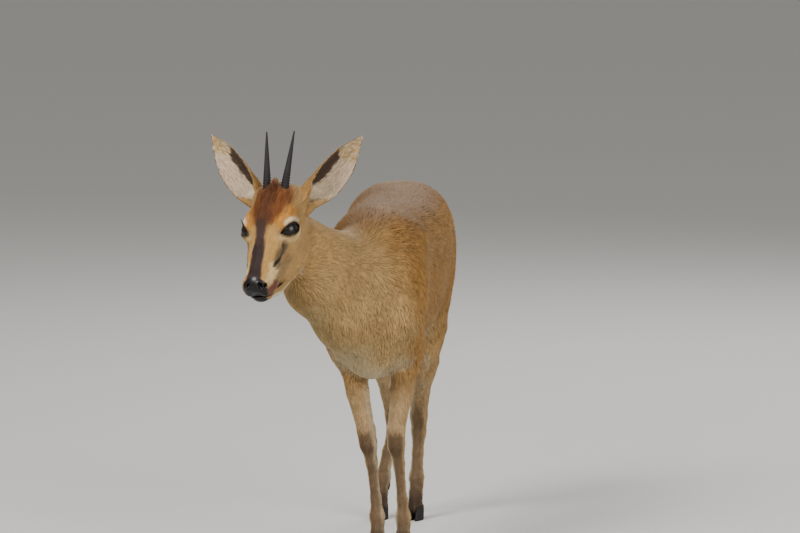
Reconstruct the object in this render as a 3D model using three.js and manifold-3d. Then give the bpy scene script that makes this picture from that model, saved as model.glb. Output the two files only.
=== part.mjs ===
// Common duiker, adult male, standing with its head lowered and carried to its right.
// Millimetres, +Z up, facing -Y, its own left on +X. Modelled round a working origin on the floor
// between its forefeet, in the middle plane of the body, then moved to the middle of its own box.
import * as THREE from 'three';
import { mergeVertices } from 'three/addons/utils/BufferGeometryUtils.js';
import Module from 'manifold-3d';

const wasm = await Module();
wasm.setup();

// Gap between nodes that meet
const GAP = 0.3;

// Heights and lengths that drive the body; the hips stand a little to the right of the working plane
const WITHERS_HEIGHT = 500;
const RUMP_HEIGHT = 514;
const BRISKET_HEIGHT = 258;
const BARREL_HALF_WIDTH = 75;
const HAUNCH_HALF_WIDTH = 74;
const BUTTOCK_Y = 476;
const HIP_X = -16;

// The head's own frame: forward along the muzzle, left, and up through the crown, from between the eyes
const HEAD_ORIGIN = new THREE.Vector3(-108.8, -185, 485.9);
const HEAD_PITCH = THREE.MathUtils.degToRad(40.5);
const HEAD_YAW = THREE.MathUtils.degToRad(-8.6);
const HEAD_ROLL = THREE.MathUtils.degToRad(4.1);
const NOSE_REACH = 103;
const OCCIPUT_REACH = 86;

// Eyes, ears and horns, in the head's frame
const EYE_RADIUS = 15.5;
const EYE_CENTRE = [-1, 26.2, 5.5];
const EYE_LOOK = [0.5, 0.74, 0.45];
const EYE_OPENING = { length: 31, height: 14, tilt: THREE.MathUtils.degToRad(-36) };
const LID_THICKNESS = 1.9;
const EARS = {
  left: {
    base: [-62, 34, 0],
    tip: [-152.9, 105.9, 34.1],
    opening: [0.61, 0.72, 0.31],
    halfWidth: 24.5,
  },
  right: {
    base: [-62, -32, -1],
    tip: [-145.6, -114.2, 51.9],
    opening: [0.68, -0.22, 0.7],
    halfWidth: 23,
  },
};
const EAR_THICKNESS = 2.6;
const HORN_BASE = [-54, 12.6, 26];
const HORN_TIP = [-132, 21, 70.5];
const HORN_BASE_RADIUS = 6.1;
const HORN_RINGS = 5;
const HORN_RINGED_SHARE = 0.4;

// Hollows cut into the left of the face, and mirrored: a nostril, and the gland's slit before the eye
const NOSTRIL = { centre: [98.5, 10.5, -4.5], radii: [5.5, 2.2, 4.2], turnUp: 0.75, turnLeft: 0.5 };
const GLAND = { centre: [40, 24.6, -1], radii: [18, 2.4, 1.5], turnUp: -0.19, turnLeft: 0.19 };

// The line of the mouth: height of its corner and its rise to the nose
const MOUTH_CORNER_UP = -38;
const MOUTH_SLOPE = THREE.MathUtils.degToRad(17);

// The crest between the horns: its reach along the crown, and its locks
const CREST = {
  front: -32,
  back: -62,
  rows: 6,
  perRow: 3,
  spacing: 5,
  shortest: 12,
  longest: 19,
  width: 7.2,
  sunk: 4,
  seed: 7,
};

// Feet: middle of each sole, seen from the working origin
const FOREFOOT_LEFT = { x: 47, y: -10 };
const FOREFOOT_RIGHT = { x: 9, y: -6 };
const HINDFOOT_LEFT = { x: -5, y: 392 };
const HINDFOOT_RIGHT = { x: -58, y: 392 };
const HOOF = { length: 36, width: 12.5, height: 21, cleft: 2.2 };

const FURS = {
  back: { color: 0x9c7444, roughness: 0.92 },
  neck: { color: 0xa58457, roughness: 0.92 },
  face: { color: 0xa8662f, roughness: 0.9 },
  leg: { color: 0x9c8a6c, roughness: 0.92 },
  ear: { color: 0xb79a78, roughness: 0.9 },
  tail: { color: 0x3a2d22, roughness: 0.9 },
};
const HORN_BLACK = { color: 0x171412, roughness: 0.45 };
const HOOF_BLACK = { color: 0x1d1916, roughness: 0.5 };
const EYE_BLACK = { color: 0x0d0806, roughness: 0.06 };

const vec = (x, y, z) => new THREE.Vector3(x, y, z);

// Smooth blending of two signed distances over the length k
function blendMin(a, b, k) {
  const h = Math.max(k - Math.abs(a - b), 0) / k;
  return Math.min(a, b) - (h * h * k) / 4;
}

// A rounded mass of flesh, turned about the left-right axis by pitch degrees
function mass(centre, radii, blend = 22, pitch = 0) {
  const turn = THREE.MathUtils.degToRad(pitch);
  const c = Math.cos(turn);
  const s = Math.sin(turn);
  const [rx, ry, rz] = radii;
  const distance = (x, y, z) => {
    const px = x - centre[0];
    const qy = y - centre[1];
    const qz = z - centre[2];
    const py = c * qy + s * qz;
    const pz = c * qz - s * qy;
    const k0 = Math.hypot(px / rx, py / ry, pz / rz);
    const k1 = Math.hypot(px / (rx * rx), py / (ry * ry), pz / (rz * rz));
    return k1 < 1e-9 ? -Math.min(rx, ry, rz) : (k0 * (k0 - 1)) / k1;
  };
  return { distance, blend };
}

// A tapered limb from one joint to the next; width scales it from side to side
function limb(from, to, radiusFrom, radiusTo, blend = 12, width = 1) {
  const span = [to[0] - from[0], to[1] - from[1], to[2] - from[2]];
  const length2 = span[0] ** 2 + span[1] ** 2 + span[2] ** 2;
  const distance = (x, y, z) => {
    const px = x - from[0];
    const py = y - from[1];
    const pz = z - from[2];
    const t = Math.min(Math.max((px * span[0] + py * span[1] + pz * span[2]) / length2, 0), 1);
    const off = Math.hypot((px - t * span[0]) / width, py - t * span[1], pz - t * span[2]);
    return off - (radiusFrom + t * (radiusTo - radiusFrom));
  };
  return { distance, blend };
}

// The same form on both sides of the middle plane; side is the number of the mirrored axis
function pair(make, axis = 0) {
  const mirrored = (point) => point.map((value, i) => (i === axis ? -value : value));
  return [make((point) => point), make(mirrored)];
}

function fieldOf(forms) {
  return (x, y, z) =>
    forms.reduce((sum, form, i) => {
      const d = form.distance(x, y, z);
      return i === 0 ? d : blendMin(sum, d, form.blend);
    }, 0);
}

// Forms of the torso
const atHips = (m) => (point) => m(point).map((value, i) => (i === 0 ? value + HIP_X : value));
const TORSO_FORMS = [
  mass([0, 118, 384], [70, 180, 112]),
  mass([-5, 215, 388], [BARREL_HALF_WIDTH, 150, 104]),
  mass([-8, 240, 440], [65, 130, 66], 30),
  mass([-9, 130, 448], [57, 120, 53], 30),
  mass([0, 50, WITHERS_HEIGHT - 50], [30, 90, 46], 30),
  mass([0, -2, BRISKET_HEIGHT + 78], [48, 62, 76], 30),
  mass([0, 60, BRISKET_HEIGHT + 54], [46, 90, 52], 30),
  ...pair((m) => mass(m([42, 28, 388]), [30, 58, 90], 26, -18)),
  ...pair((m) => limb(m([44, -22, 350]), m([44, 38, 300]), 32, 30, 26, 0.8)),
  mass([HIP_X / 2, 275, RUMP_HEIGHT - 92], [64, 120, 88], 30),
  mass([HIP_X, 350, RUMP_HEIGHT - 88], [63, 102, 88], 30),
  ...pair((m) => limb(m([30, 70, WITHERS_HEIGHT - 47]), m([34, 250, WITHERS_HEIGHT - 44]), 33, 36, 26)),
  ...pair((m) => mass(atHips(m)([29, 312, RUMP_HEIGHT - 54]), [36, 95, 50], 20)),
  ...pair((m) => mass(atHips(m)([40, 300, 428]), [33, 90, 60], 26)),
  ...pair((m) => mass(atHips(m)([HAUNCH_HALF_WIDTH - 38, 356, 388]), [38, 86, 94], 26, 16)),
  ...pair((m) => mass(atHips(m)([28, BUTTOCK_Y - 54, 398]), [32, 50, 70], 24, 8)),
  ...pair((m) => limb(atHips(m)([36, 352, 366]), atHips(m)([36, 360, 334]), 68, 57, 24, 0.5)),
];

// Forms of the neck: the crest from withers to poll, and the throat from brisket to jaw
const NECK_FORMS = [
  limb([0, 40, 452], [-44, -56, 441], 36, 30, 24, 0.9),
  limb([-44, -56, 441], [-104, -142, 500], 30, 24.5, 24, 0.95),
  limb([0, 0, 335], [-25, -50, 356], 47, 45, 30),
  limb([-25, -50, 356], [-64, -96, 404], 45, 41, 30),
  limb([-64, -96, 404], [-97, -128, 464], 41, 31, 24),
  limb([-20, -20, 400], [-82, -112, 460], 48, 36, 30),
];

const bodyField = fieldOf([...TORSO_FORMS, ...NECK_FORMS]);

// Forms of the head in its own frame: forward, left, up
const HEAD_FORMS = [
  mass([-46, 0, 1], [41, 35, 35], 14),
  mass([-20, 0, 12], [44, 29, 25], 16),
  limb([8, 0, 1], [80, 0, -8], 24.5, 14.5, 14, 0.94),
  mass([88, 0, -10.5], [15, 21, 14.5], 8),
  ...pair((m) => mass(m([74, 12, -21]), [26, 12.5, 13], 9), 1),
  limb([-28, 0, -47], [73, 0, -39], 23, 12, 12, 1),
  mass([86, 0, -33], [13, 15, 10.5], 8),
  ...pair((m) => mass(m([-6, 18, -36]), [44, 17, 32], 14), 1),
  ...pair((m) => limb(m([-6, 19, -50]), m([62, 10.5, -44]), 18, 12, 12), 1),
  ...pair((m) => mass(m([-40, 15, -34]), [22, 15, 26], 14), 1),
  ...pair((m) => limb(m([12, 14, -15]), m([52, 10, -17]), 15.5, 14.5, 12), 1),
  ...pair((m) => mass(m([-8, 25, 13]), [20, 9.5, 11], 12), 1),
  ...pair((m) => mass(m([-9, 24, 3]), [19.5, 15.5, 19], 12), 1),
  ...pair((m) => limb(m([15, 21, -14]), m([-34, 30, -9]), 8.5, 9.5, 12), 1),
  ...pair((m) => limb(m([16, 19, 0]), m([44, 12, -5]), 7, 8, 12), 1),
  ...pair((m) => mass(m([-60, 26, 4]), [17, 15, 18], 14), 1),
];
const headField = fieldOf(HEAD_FORMS);

// Sections sampled outwards from a centre line until the field reaches the wanted offset
function reach(field, centre, direction, offset) {
  const step = 3;
  const outside = (r) =>
    field(centre.x + r * direction.x, centre.y + r * direction.y, centre.z + r * direction.z) > offset;
  let far = step;
  while (!outside(far) && far < 400) far += step;
  let near = far - step;
  for (let i = 0; i < 14; i += 1) {
    const middle = (near + far) / 2;
    if (outside(middle)) far = middle;
    else near = middle;
  }
  return centre.clone().addScaledVector(direction, near);
}

function sectionRing(field, station, sides, offset) {
  return Array.from({ length: sides }, (_, i) => {
    const angle = (2 * Math.PI * i) / sides;
    const direction = station.across
      .clone()
      .multiplyScalar(Math.sin(angle))
      .addScaledVector(station.up, Math.cos(angle));
    return reach(field, station.centre, direction, offset);
  });
}

// Cutting stations along a smooth centre line, each square to it
function stationsAlong(points, shares, upward = vec(0, 0, 1)) {
  const line = new THREE.CatmullRomCurve3(points, false, 'centripetal');
  return shares.map((share) => {
    const centre = line.getPointAt(share);
    const tangent = line.getTangentAt(share);
    const across = tangent.clone().cross(upward).normalize();
    return { centre, tangent, across, up: across.clone().cross(tangent).normalize() };
  });
}

const evenShares = (count, from = 0, to = 1) =>
  Array.from({ length: count }, (_, i) => from + ((to - from) * i) / (count - 1));

function orientedGeometry(positions, faces) {
  const geometry = new THREE.BufferGeometry();
  const places = positions.flatMap((p) => p.toArray());
  geometry.setAttribute('position', new THREE.Float32BufferAttribute(places, 3));
  const volume = faces.reduce((sum, [a, b, c]) => {
    return sum + positions[a].dot(positions[b].clone().cross(positions[c]));
  }, 0);
  geometry.setIndex(faces.flatMap(([a, b, c]) => (volume < 0 ? [a, c, b] : [a, b, c])));
  return geometry;
}

// A closed body through rings of equal length, each end drawn to a tip or closed by a flat fan
function loft(rings, startTip = null, endTip = null) {
  const sides = rings[0].length;
  const positions = rings.flat();
  const faces = [];
  for (let r = 0; r + 1 < rings.length; r += 1) {
    for (let i = 0; i < sides; i += 1) {
      const j = (i + 1) % sides;
      const [a, b, c, d] = [r * sides + i, r * sides + j, (r + 1) * sides + j, (r + 1) * sides + i];
      faces.push([a, b, c], [a, c, d]);
    }
  }
  const middle = (ring) => ring.reduce((sum, p) => sum.add(p), vec(0, 0, 0)).divideScalar(sides);
  const last = (rings.length - 1) * sides;
  positions.push(startTip ?? middle(rings[0]), endTip ?? middle(rings[rings.length - 1]));
  for (let i = 0; i < sides; i += 1) {
    const j = (i + 1) % sides;
    faces.push([positions.length - 2, j, i], [positions.length - 1, last + i, last + j]);
  }
  return orientedGeometry(positions, faces);
}

function solidOf(geometry) {
  const bare = geometry.clone();
  bare.deleteAttribute('normal');
  bare.deleteAttribute('uv');
  const merged = mergeVertices(bare, 1e-4);
  return new wasm.Manifold(
    new wasm.Mesh({
      numProp: 3,
      vertProperties: new Float32Array(merged.attributes.position.array),
      triVerts: new Uint32Array(merged.index.array),
    }),
  );
}

// The largest closed surface of a solid, as a geometry
function largestGeometry(solid) {
  const bodies = solid.decompose().sort((a, b) => b.volume() - a.volume());
  const mesh = bodies[0].getMesh();
  const geometry = new THREE.BufferGeometry();
  geometry.setAttribute('position', new THREE.Float32BufferAttribute(mesh.vertProperties, 3));
  geometry.setIndex(Array.from(mesh.triVerts));
  return geometry;
}

const cutAway = (piece, ...others) =>
  others.reduce((left, other) => left.subtract(solidOf(other)), solidOf(piece));

// Torso and neck share one centre line and one field, so they meet on one plane
const SPINE = [
  vec(HIP_X, BUTTOCK_Y - 6, 420),
  vec(HIP_X, 372, 404),
  vec(HIP_X / 2, 270, 396),
  vec(0, 170, 388),
  vec(0, 80, 384),
  vec(-3, 12, 392),
  vec(-26, -45, 410),
  vec(-62, -94, 446),
  vec(-103, -146, 506),
];
const SPINE_LENGTH = new THREE.CatmullRomCurve3(SPINE, false, 'centripetal').getLength();
const NECK_ROOT_SHARE = 0.735;
const TORSO_SIDES = 34;
const NECK_SIDES = 30;

function torsoGeometry(offset = 0) {
  const shares = [0.002, 0.01, 0.024, ...evenShares(27, 0.045, NECK_ROOT_SHARE)];
  const stations = stationsAlong(SPINE, shares);
  const rings = stations.map((station) => sectionRing(bodyField, station, TORSO_SIDES, offset));
  const tail = stations[0];
  const tip = reach(bodyField, tail.centre, tail.tangent.clone().negate(), offset);
  return loft(rings, tip);
}

function neckGeometry() {
  const start = NECK_ROOT_SHARE + GAP / SPINE_LENGTH;
  const neckField = fieldOf([...NECK_FORMS, ...TORSO_FORMS]);
  const rings = stationsAlong(SPINE, evenShares(13, start, 1)).map((station, i, all) => {
    const field = i < all.length / 2 ? bodyField : neckField;
    return sectionRing(field, station, NECK_SIDES, 0);
  });
  return loft(rings);
}

// From the head's own frame to the body's: muzzle down by the pitch, aside by the yaw, tipped by the roll
const HEAD_AXES = (() => {
  const forward = vec(
    Math.sin(HEAD_YAW) * Math.cos(HEAD_PITCH),
    -Math.cos(HEAD_YAW) * Math.cos(HEAD_PITCH),
    -Math.sin(HEAD_PITCH),
  );
  const level = vec(0, 0, 1).cross(forward).normalize().applyAxisAngle(forward, HEAD_ROLL);
  return { forward, left: level, up: forward.clone().cross(level) };
})();

function inHead([f, l, u]) {
  return HEAD_ORIGIN.clone()
    .addScaledVector(HEAD_AXES.forward, f)
    .addScaledVector(HEAD_AXES.left, l)
    .addScaledVector(HEAD_AXES.up, u);
}

const HEAD_MATRIX = new THREE.Matrix4()
  .makeBasis(HEAD_AXES.forward, HEAD_AXES.left, HEAD_AXES.up)
  .setPosition(HEAD_ORIGIN);

const side = (point, sign) => [point[0], sign * point[1], point[2]];

function headBlank(offset = 0) {
  const stations = evenShares(36, -OCCIPUT_REACH + 4, NOSE_REACH - 3).map((f) => ({
    centre: vec(f, 0, -9 - 0.03 * f),
    across: vec(0, 1, 0),
    up: vec(0, 0, 1),
  }));
  const rings = stations.map((station) => sectionRing(headField, station, 40, offset));
  const back = reach(headField, stations[0].centre, vec(-1, 0, 0), offset);
  const front = reach(headField, stations[stations.length - 1].centre, vec(1, 0, 0), offset);
  return loft(rings, back, front).applyMatrix4(HEAD_MATRIX);
}

function eyeball(sign, grow = 0) {
  return new THREE.SphereGeometry(EYE_RADIUS + grow, 16, 10).applyMatrix4(
    new THREE.Matrix4().setPosition(inHead(side(EYE_CENTRE, sign))),
  );
}

// Placing of an eye's opening: z outwards, y up, x to the back on the left and to the nose on the right
function eyePlace(sign) {
  const look = vec(...side(EYE_LOOK, sign)).normalize();
  const nose = vec(1, 0, 0).addScaledVector(look, -look.x).normalize();
  const crown = look.clone().cross(nose).multiplyScalar(-sign);
  const basis = new THREE.Matrix4().makeBasis(nose.multiplyScalar(-sign), crown, look);
  return basis.setPosition(vec(...side(EYE_CENTRE, sign))).premultiply(HEAD_MATRIX);
}

// The slot between the lids: an almond, its corner to the nose the higher one
function lidOpening(sign) {
  const { length, height, tilt } = EYE_OPENING;
  const almond = new THREE.Shape();
  const x = (share) => -sign * share * length;
  almond.moveTo(x(0.5), -0.1 * height);
  almond.quadraticCurveTo(x(0.16), height * 0.98, x(-0.3), height * 0.4);
  almond.quadraticCurveTo(x(-0.5), height * 0.2, x(-0.5), 0);
  almond.quadraticCurveTo(x(-0.1), -height * 0.98, x(0.5), -0.1 * height);
  const depth = 2 * EYE_RADIUS;
  const slot = new THREE.ExtrudeGeometry(almond, { depth, bevelEnabled: false, curveSegments: 6 });
  return slot.rotateZ(sign * tilt).applyMatrix4(eyePlace(sign));
}

// A stretched ball on the left of the head, turned about the up and left axes, or its mirror image
function headBall({ centre, radii, turnUp, turnLeft }, sign) {
  const ball = new THREE.SphereGeometry(1, 12, 8);
  ball.scale(...radii).rotateY(turnLeft).rotateZ(turnUp).translate(...centre);
  if (sign < 0) {
    ball.scale(1, -1, 1);
    ball.setIndex(flipped(ball.index.array));
  }
  return ball.applyMatrix4(HEAD_MATRIX);
}

// The mouth: a thin plate in the plane between the lips, open in the middle so that it cuts only a line
function mouthSlit() {
  const corner = { f: 60, l: 26 };
  const outline = new THREE.Shape();
  outline.moveTo(corner.f, corner.l);
  outline.lineTo(NOSE_REACH + 4, corner.l);
  outline.lineTo(NOSE_REACH + 4, -corner.l);
  outline.lineTo(corner.f, -corner.l);
  outline.lineTo(corner.f, -15);
  outline.quadraticCurveTo(corner.f + 24, -14, 86, -9);
  outline.quadraticCurveTo(93, -3, 93, 0);
  outline.quadraticCurveTo(93, 3, 86, 9);
  outline.quadraticCurveTo(corner.f + 24, 14, corner.f, 15);
  const plate = new THREE.ExtrudeGeometry(outline, { depth: 1.6, bevelEnabled: false, curveSegments: 5 });
  plate.translate(-corner.f, 0, -0.8).rotateY(-MOUTH_SLOPE).translate(corner.f, 0, MOUTH_CORNER_UP);
  return plate.applyMatrix4(HEAD_MATRIX);
}

// Head with its lids, nostrils, mouth and the slit of the gland before each eye
function headGeometry() {
  let head = solidOf(headBlank());
  for (const sign of [1, -1]) {
    const lids = new THREE.SphereGeometry(EYE_RADIUS + LID_THICKNESS, 18, 12);
    lids.applyMatrix4(new THREE.Matrix4().setPosition(inHead(side(EYE_CENTRE, sign))));
    head = head.add(solidOf(lids));
  }
  for (const sign of [1, -1]) {
    head = head.subtract(solidOf(lidOpening(sign)));
    head = head.subtract(solidOf(eyeball(sign, GAP)));
    head = head.subtract(solidOf(headBall(NOSTRIL, sign)));
    head = head.subtract(solidOf(headBall(GLAND, sign)));
  }
  head = head.subtract(solidOf(mouthSlit()));
  for (const lock of crestLocks()) head = head.add(solidOf(lock));
  return largestGeometry(head);
}

// A flat lock of hair that tapers to a point and curls back towards the lie of the coat
function lockGeometry(root, rise, lie, length, width) {
  const flatAxis = rise.clone().cross(lie).normalize();
  const rows = [0, 0.3, 0.58, 0.82];
  const bend = 0.55 * length;
  const place = (t) =>
    root
      .clone()
      .addScaledVector(rise, length * t)
      .addScaledVector(lie, bend * t * t);
  const rings = rows.map((t) => {
    const ahead = rise.clone().addScaledVector(lie, (2 * bend * t) / length).normalize();
    const thick = flatAxis.clone().cross(ahead).multiplyScalar(width * 0.24 * (1 - 0.7 * t));
    const wide = flatAxis.clone().multiplyScalar((width / 2) * (1 - t * t * 0.8));
    const centre = place(t);
    return [
      centre.clone().add(wide),
      centre.clone().add(thick),
      centre.clone().sub(wide),
      centre.clone().sub(thick),
    ];
  });
  return loft(rings, null, place(1)).applyMatrix4(HEAD_MATRIX);
}

// The crest of the crown: rows of locks between and before the horns, the hindmost the tallest
function crestLocks() {
  const draw = seededDraw(CREST.seed);
  const locks = [];
  for (let row = 0; row < CREST.rows; row += 1) {
    const share = row / (CREST.rows - 1);
    const count = CREST.perRow - (row % 2);
    for (let i = 0; i < count; i += 1) {
      const aside = (i - (count - 1) / 2) * CREST.spacing + (draw() - 0.5) * 1.2;
      const f = CREST.front + share * (CREST.back - CREST.front) + (draw() - 0.5) * 2;
      const length = CREST.shortest + share * (CREST.longest - CREST.shortest) + (draw() - 0.5) * 4;
      const surface = reach(headField, vec(f, aside, -5), vec(0, 0, 1), 0);
      const rise = vec(-0.35 - 0.15 * draw(), 0.03 * aside + (draw() - 0.5) * 0.2, 0.85).normalize();
      const lie = vec(-1, 0.02 * aside, -0.1).normalize();
      const root = surface.addScaledVector(rise, -CREST.sunk);
      locks.push(lockGeometry(root, rise, lie, length, CREST.width));
    }
  }
  return locks;
}

// A repeatable draw between 0 and 1
function seededDraw(seed) {
  let state = seed;
  return () => {
    state = (state * 1103515245 + 12345) % 2147483648;
    return state / 2147483648;
  };
}

// Smooth value along 0..1 through stops of place and value
function profile(stops) {
  const slope = (i) => {
    const [before, after] = [stops[Math.max(i - 1, 0)], stops[Math.min(i + 1, stops.length - 1)]];
    return (after[1] - before[1]) / (after[0] - before[0]);
  };
  return (t) => {
    const next = stops.findIndex(([at]) => at >= t);
    if (next <= 0) return stops[0][1];
    const [t0, v0] = stops[next - 1];
    const [t1, v1] = stops[next];
    const x = (t - t0) / (t1 - t0);
    const [m0, m1] = [slope(next - 1) * (t1 - t0), slope(next) * (t1 - t0)];
    const cubic = 2 * v0 - 2 * v1 + m0 + m1;
    return v0 + x * (m0 + x * (3 * v1 - 3 * v0 - 2 * m0 - m1 + x * cubic));
  };
}

// One ear: a cupped leaf of real thickness, rolled to a filled funnel at its root
function earGeometry(ear) {
  const base = vec(...ear.base);
  const axis = vec(...ear.tip).sub(base);
  const along = axis.clone().normalize();
  const opening = vec(...ear.opening);
  opening.addScaledVector(along, -opening.dot(along)).normalize();
  const across = along.clone().cross(opening);
  const halfWidth = profile([[0, 0.66], [0.2, 0.88], [0.42, 1], [0.66, 0.82], [0.88, 0.38], [1, 0.06]]);
  const halfAngle = profile([[0, 2.5], [0.1, 2.25], [0.2, 1.85], [0.32, 1.5], [0.6, 1.15], [1, 0.8]]);
  const sunk = profile([[0, 0.8], [0.15, 0.5], [0.3, 0.12], [0.4, 0], [1, 0]]);
  const filled = profile([[0, 0.9], [0.1, 0.6], [0.2, 0.15], [0.3, 0], [1, 0]]);
  const columns = evenShares(11, -1, 1);
  const rings = evenShares(18, -0.22, 1).map((s) => {
    const angle = halfAngle(s);
    const radius = (ear.halfWidth * halfWidth(s)) / Math.sin(Math.min(angle, Math.PI / 2));
    const bow = 7 * Math.sin(Math.PI * Math.max(s, 0));
    const lift = radius * (1 - sunk(s)) - bow;
    const centre = base.clone().addScaledVector(axis, s).addScaledVector(opening, lift);
    const wall = (t, thickness) => {
      const r = radius - thickness * (1 - 0.62 * t * t * (1 - filled(s)));
      return centre
        .clone()
        .addScaledVector(across, r * Math.sin(angle * t))
        .addScaledVector(opening, -r * Math.cos(angle * t));
    };
    const thickness = Math.max(Math.min(EAR_THICKNESS, radius * 0.6), filled(s) * radius * 0.9);
    return [...columns.map((t) => wall(t, 0)), ...columns.toReversed().map((t) => wall(t, thickness))];
  });
  const shell = zippedLoft(rings, columns.length).applyMatrix4(HEAD_MATRIX);
  return largestGeometry(cutAway(shell, headBlank(GAP)));
}

// A loft whose rings are two facing rows, so that each end is closed by the strip between the rows
function zippedLoft(rings, columns) {
  const sides = 2 * columns;
  const positions = rings.flat();
  const faces = [];
  for (let r = 0; r + 1 < rings.length; r += 1) {
    for (let i = 0; i < sides; i += 1) {
      const j = (i + 1) % sides;
      const [a, b, c, d] = [r * sides + i, r * sides + j, (r + 1) * sides + j, (r + 1) * sides + i];
      if (i < columns) faces.push([a, b, d], [b, c, d]);
      else faces.push([a, b, c], [a, c, d]);
    }
  }
  const last = (rings.length - 1) * sides;
  for (let i = 0; i + 1 < columns; i += 1) {
    const facing = sides - 1 - i;
    faces.push([facing, i + 1, i], [facing, facing - 1, i + 1]);
    faces.push([last + i, last + i + 1, last + facing], [last + i + 1, last + facing - 1, last + facing]);
  }
  return orientedGeometry(positions, faces);
}

// One horn: a straight spike with raised rings on its lower third
function hornGeometry(sign) {
  const base = vec(...side(HORN_BASE, sign));
  const tip = vec(...side(HORN_TIP, sign));
  const shares = [...evenShares(4 * HORN_RINGS + 1, 0, HORN_RINGED_SHARE), ...evenShares(4, 0.52, 0.79)];
  const outline = shares.map((t, i) => {
    const plain = HORN_BASE_RADIUS * (1 - 0.86 * t);
    const bump = t < HORN_RINGED_SHARE && i % 4 === 2 ? 0.9 * (1 - t) : 0;
    return { t, radius: plain + bump };
  });
  const axis = tip.clone().sub(base);
  const along = axis.clone().normalize();
  const across = along.clone().cross(vec(0, sign, 0)).normalize();
  const beside = along.clone().cross(across);
  const rings = outline.map(({ t, radius }) => {
    const centre = base.clone().addScaledVector(axis, t);
    return Array.from({ length: 10 }, (_, i) => {
      const angle = (2 * Math.PI * i) / 10;
      return centre
        .clone()
        .addScaledVector(across, radius * Math.sin(angle))
        .addScaledVector(beside, radius * Math.cos(angle));
    });
  });
  const horn = loft(rings, null, tip).applyMatrix4(HEAD_MATRIX);
  return largestGeometry(cutAway(horn, headBlank(GAP)));
}

// Joints of each leg, from inside the body down to the pastern, with radius and side-to-side width
const FORELEG_LEFT = [
  { at: [45, 40, 302], radius: 24, width: 0.8 },
  { at: [40, 22, 240], radius: 18.5, width: 0.86 },
  { at: [36, -4, 186], radius: 14.5, width: 0.9 },
  { at: [37, -5, 168], radius: 13.4, width: 0.95 },
  { at: [40, 0, 140], radius: 9, width: 0.9 },
  { at: [44, 4, 88], radius: 8.2, width: 0.92 },
  { at: [45.5, 4, 62], radius: 11.2, width: 0.95 },
  { at: [46.5, -2, 38], radius: 9.6, width: 1 },
  { at: [47, -4, 17], radius: 11.5, width: 1.08 },
];
const FORELEG_RIGHT = [
  { at: [-40, 40, 302], radius: 24, width: 0.8 },
  { at: [-24, 22, 240], radius: 19, width: 0.86 },
  { at: [-7, -2, 186], radius: 14.5, width: 0.9 },
  { at: [-4, -3, 168], radius: 13.4, width: 0.95 },
  { at: [0, 3, 140], radius: 9, width: 0.9 },
  { at: [5, 8, 88], radius: 8.2, width: 0.92 },
  { at: [7, 8, 62], radius: 11.2, width: 0.95 },
  { at: [8.5, 2, 38], radius: 9.6, width: 1 },
  { at: [9, 0, 17], radius: 11.5, width: 1.08 },
];
const hindleg = (sign, foot, hock) => [
  { at: [HIP_X + sign * 36, 362, 330], radius: 51, width: 0.46 },
  { at: [HIP_X + sign * 35, 371, 288], radius: 47, width: 0.5 },
  { at: [0.6 * (HIP_X + sign * 35) + 0.4 * hock, 386, 238], radius: 33, width: 0.62 },
  { at: [0.2 * (HIP_X + sign * 35) + 0.8 * hock, 408, 190], radius: 19.5, width: 0.74 },
  { at: [hock, 427, 152], radius: 16, width: 0.78 },
  { at: [hock, 427, 128], radius: 12.5, width: 0.84 },
  { at: [0.5 * (hock + foot.x), foot.y + 26, 98], radius: 9.2, width: 0.86 },
  { at: [0.15 * hock + 0.85 * foot.x, foot.y + 15, 62], radius: 11.4, width: 0.95 },
  { at: [foot.x, foot.y + 8, 38], radius: 9.6, width: 1 },
  { at: [foot.x, foot.y + 4, 17], radius: 11.5, width: 1.08 },
];
const LEGS = {
  foreleg_left: { joints: FORELEG_LEFT, cut: 3, foot: FOREFOOT_LEFT, splay: -0.04 },
  foreleg_right: { joints: FORELEG_RIGHT, cut: 3, foot: FOREFOOT_RIGHT, splay: 0.04 },
  hindleg_left: { joints: hindleg(1, HINDFOOT_LEFT, -5), cut: 5, foot: HINDFOOT_LEFT, splay: -0.08 },
  hindleg_right: { joints: hindleg(-1, HINDFOOT_RIGHT, -43), cut: 5, foot: HINDFOOT_RIGHT, splay: 0.08 },
};

function legField(joints) {
  return fieldOf(
    joints.slice(1).map((joint, i) => {
      const above = joints[i];
      return limb(above.at, joint.at, above.radius, joint.radius, 6, (above.width + joint.width) / 2);
    }),
  );
}

// One length of a leg between two joints, its ends square to the bone
function legLength(joints, from, to, rows, sides, startTrim = 0, offset = 0) {
  const points = joints.map((joint) => vec(...joint.at));
  const line = new THREE.CatmullRomCurve3(points, false, 'centripetal');
  const field = legField(joints);
  const whole = line.getLength();
  const shareOf = (index) => {
    const lengths = line.getLengths(200);
    return lengths[Math.round((200 * index) / (joints.length - 1))] / whole;
  };
  const first = shareOf(from) + startTrim / whole;
  const last = shareOf(to);
  const stations = stationsAlong(points, evenShares(rows, first, last), vec(0, 1, 0));
  return loft(stations.map((station) => sectionRing(field, station, sides, offset)));
}

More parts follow.
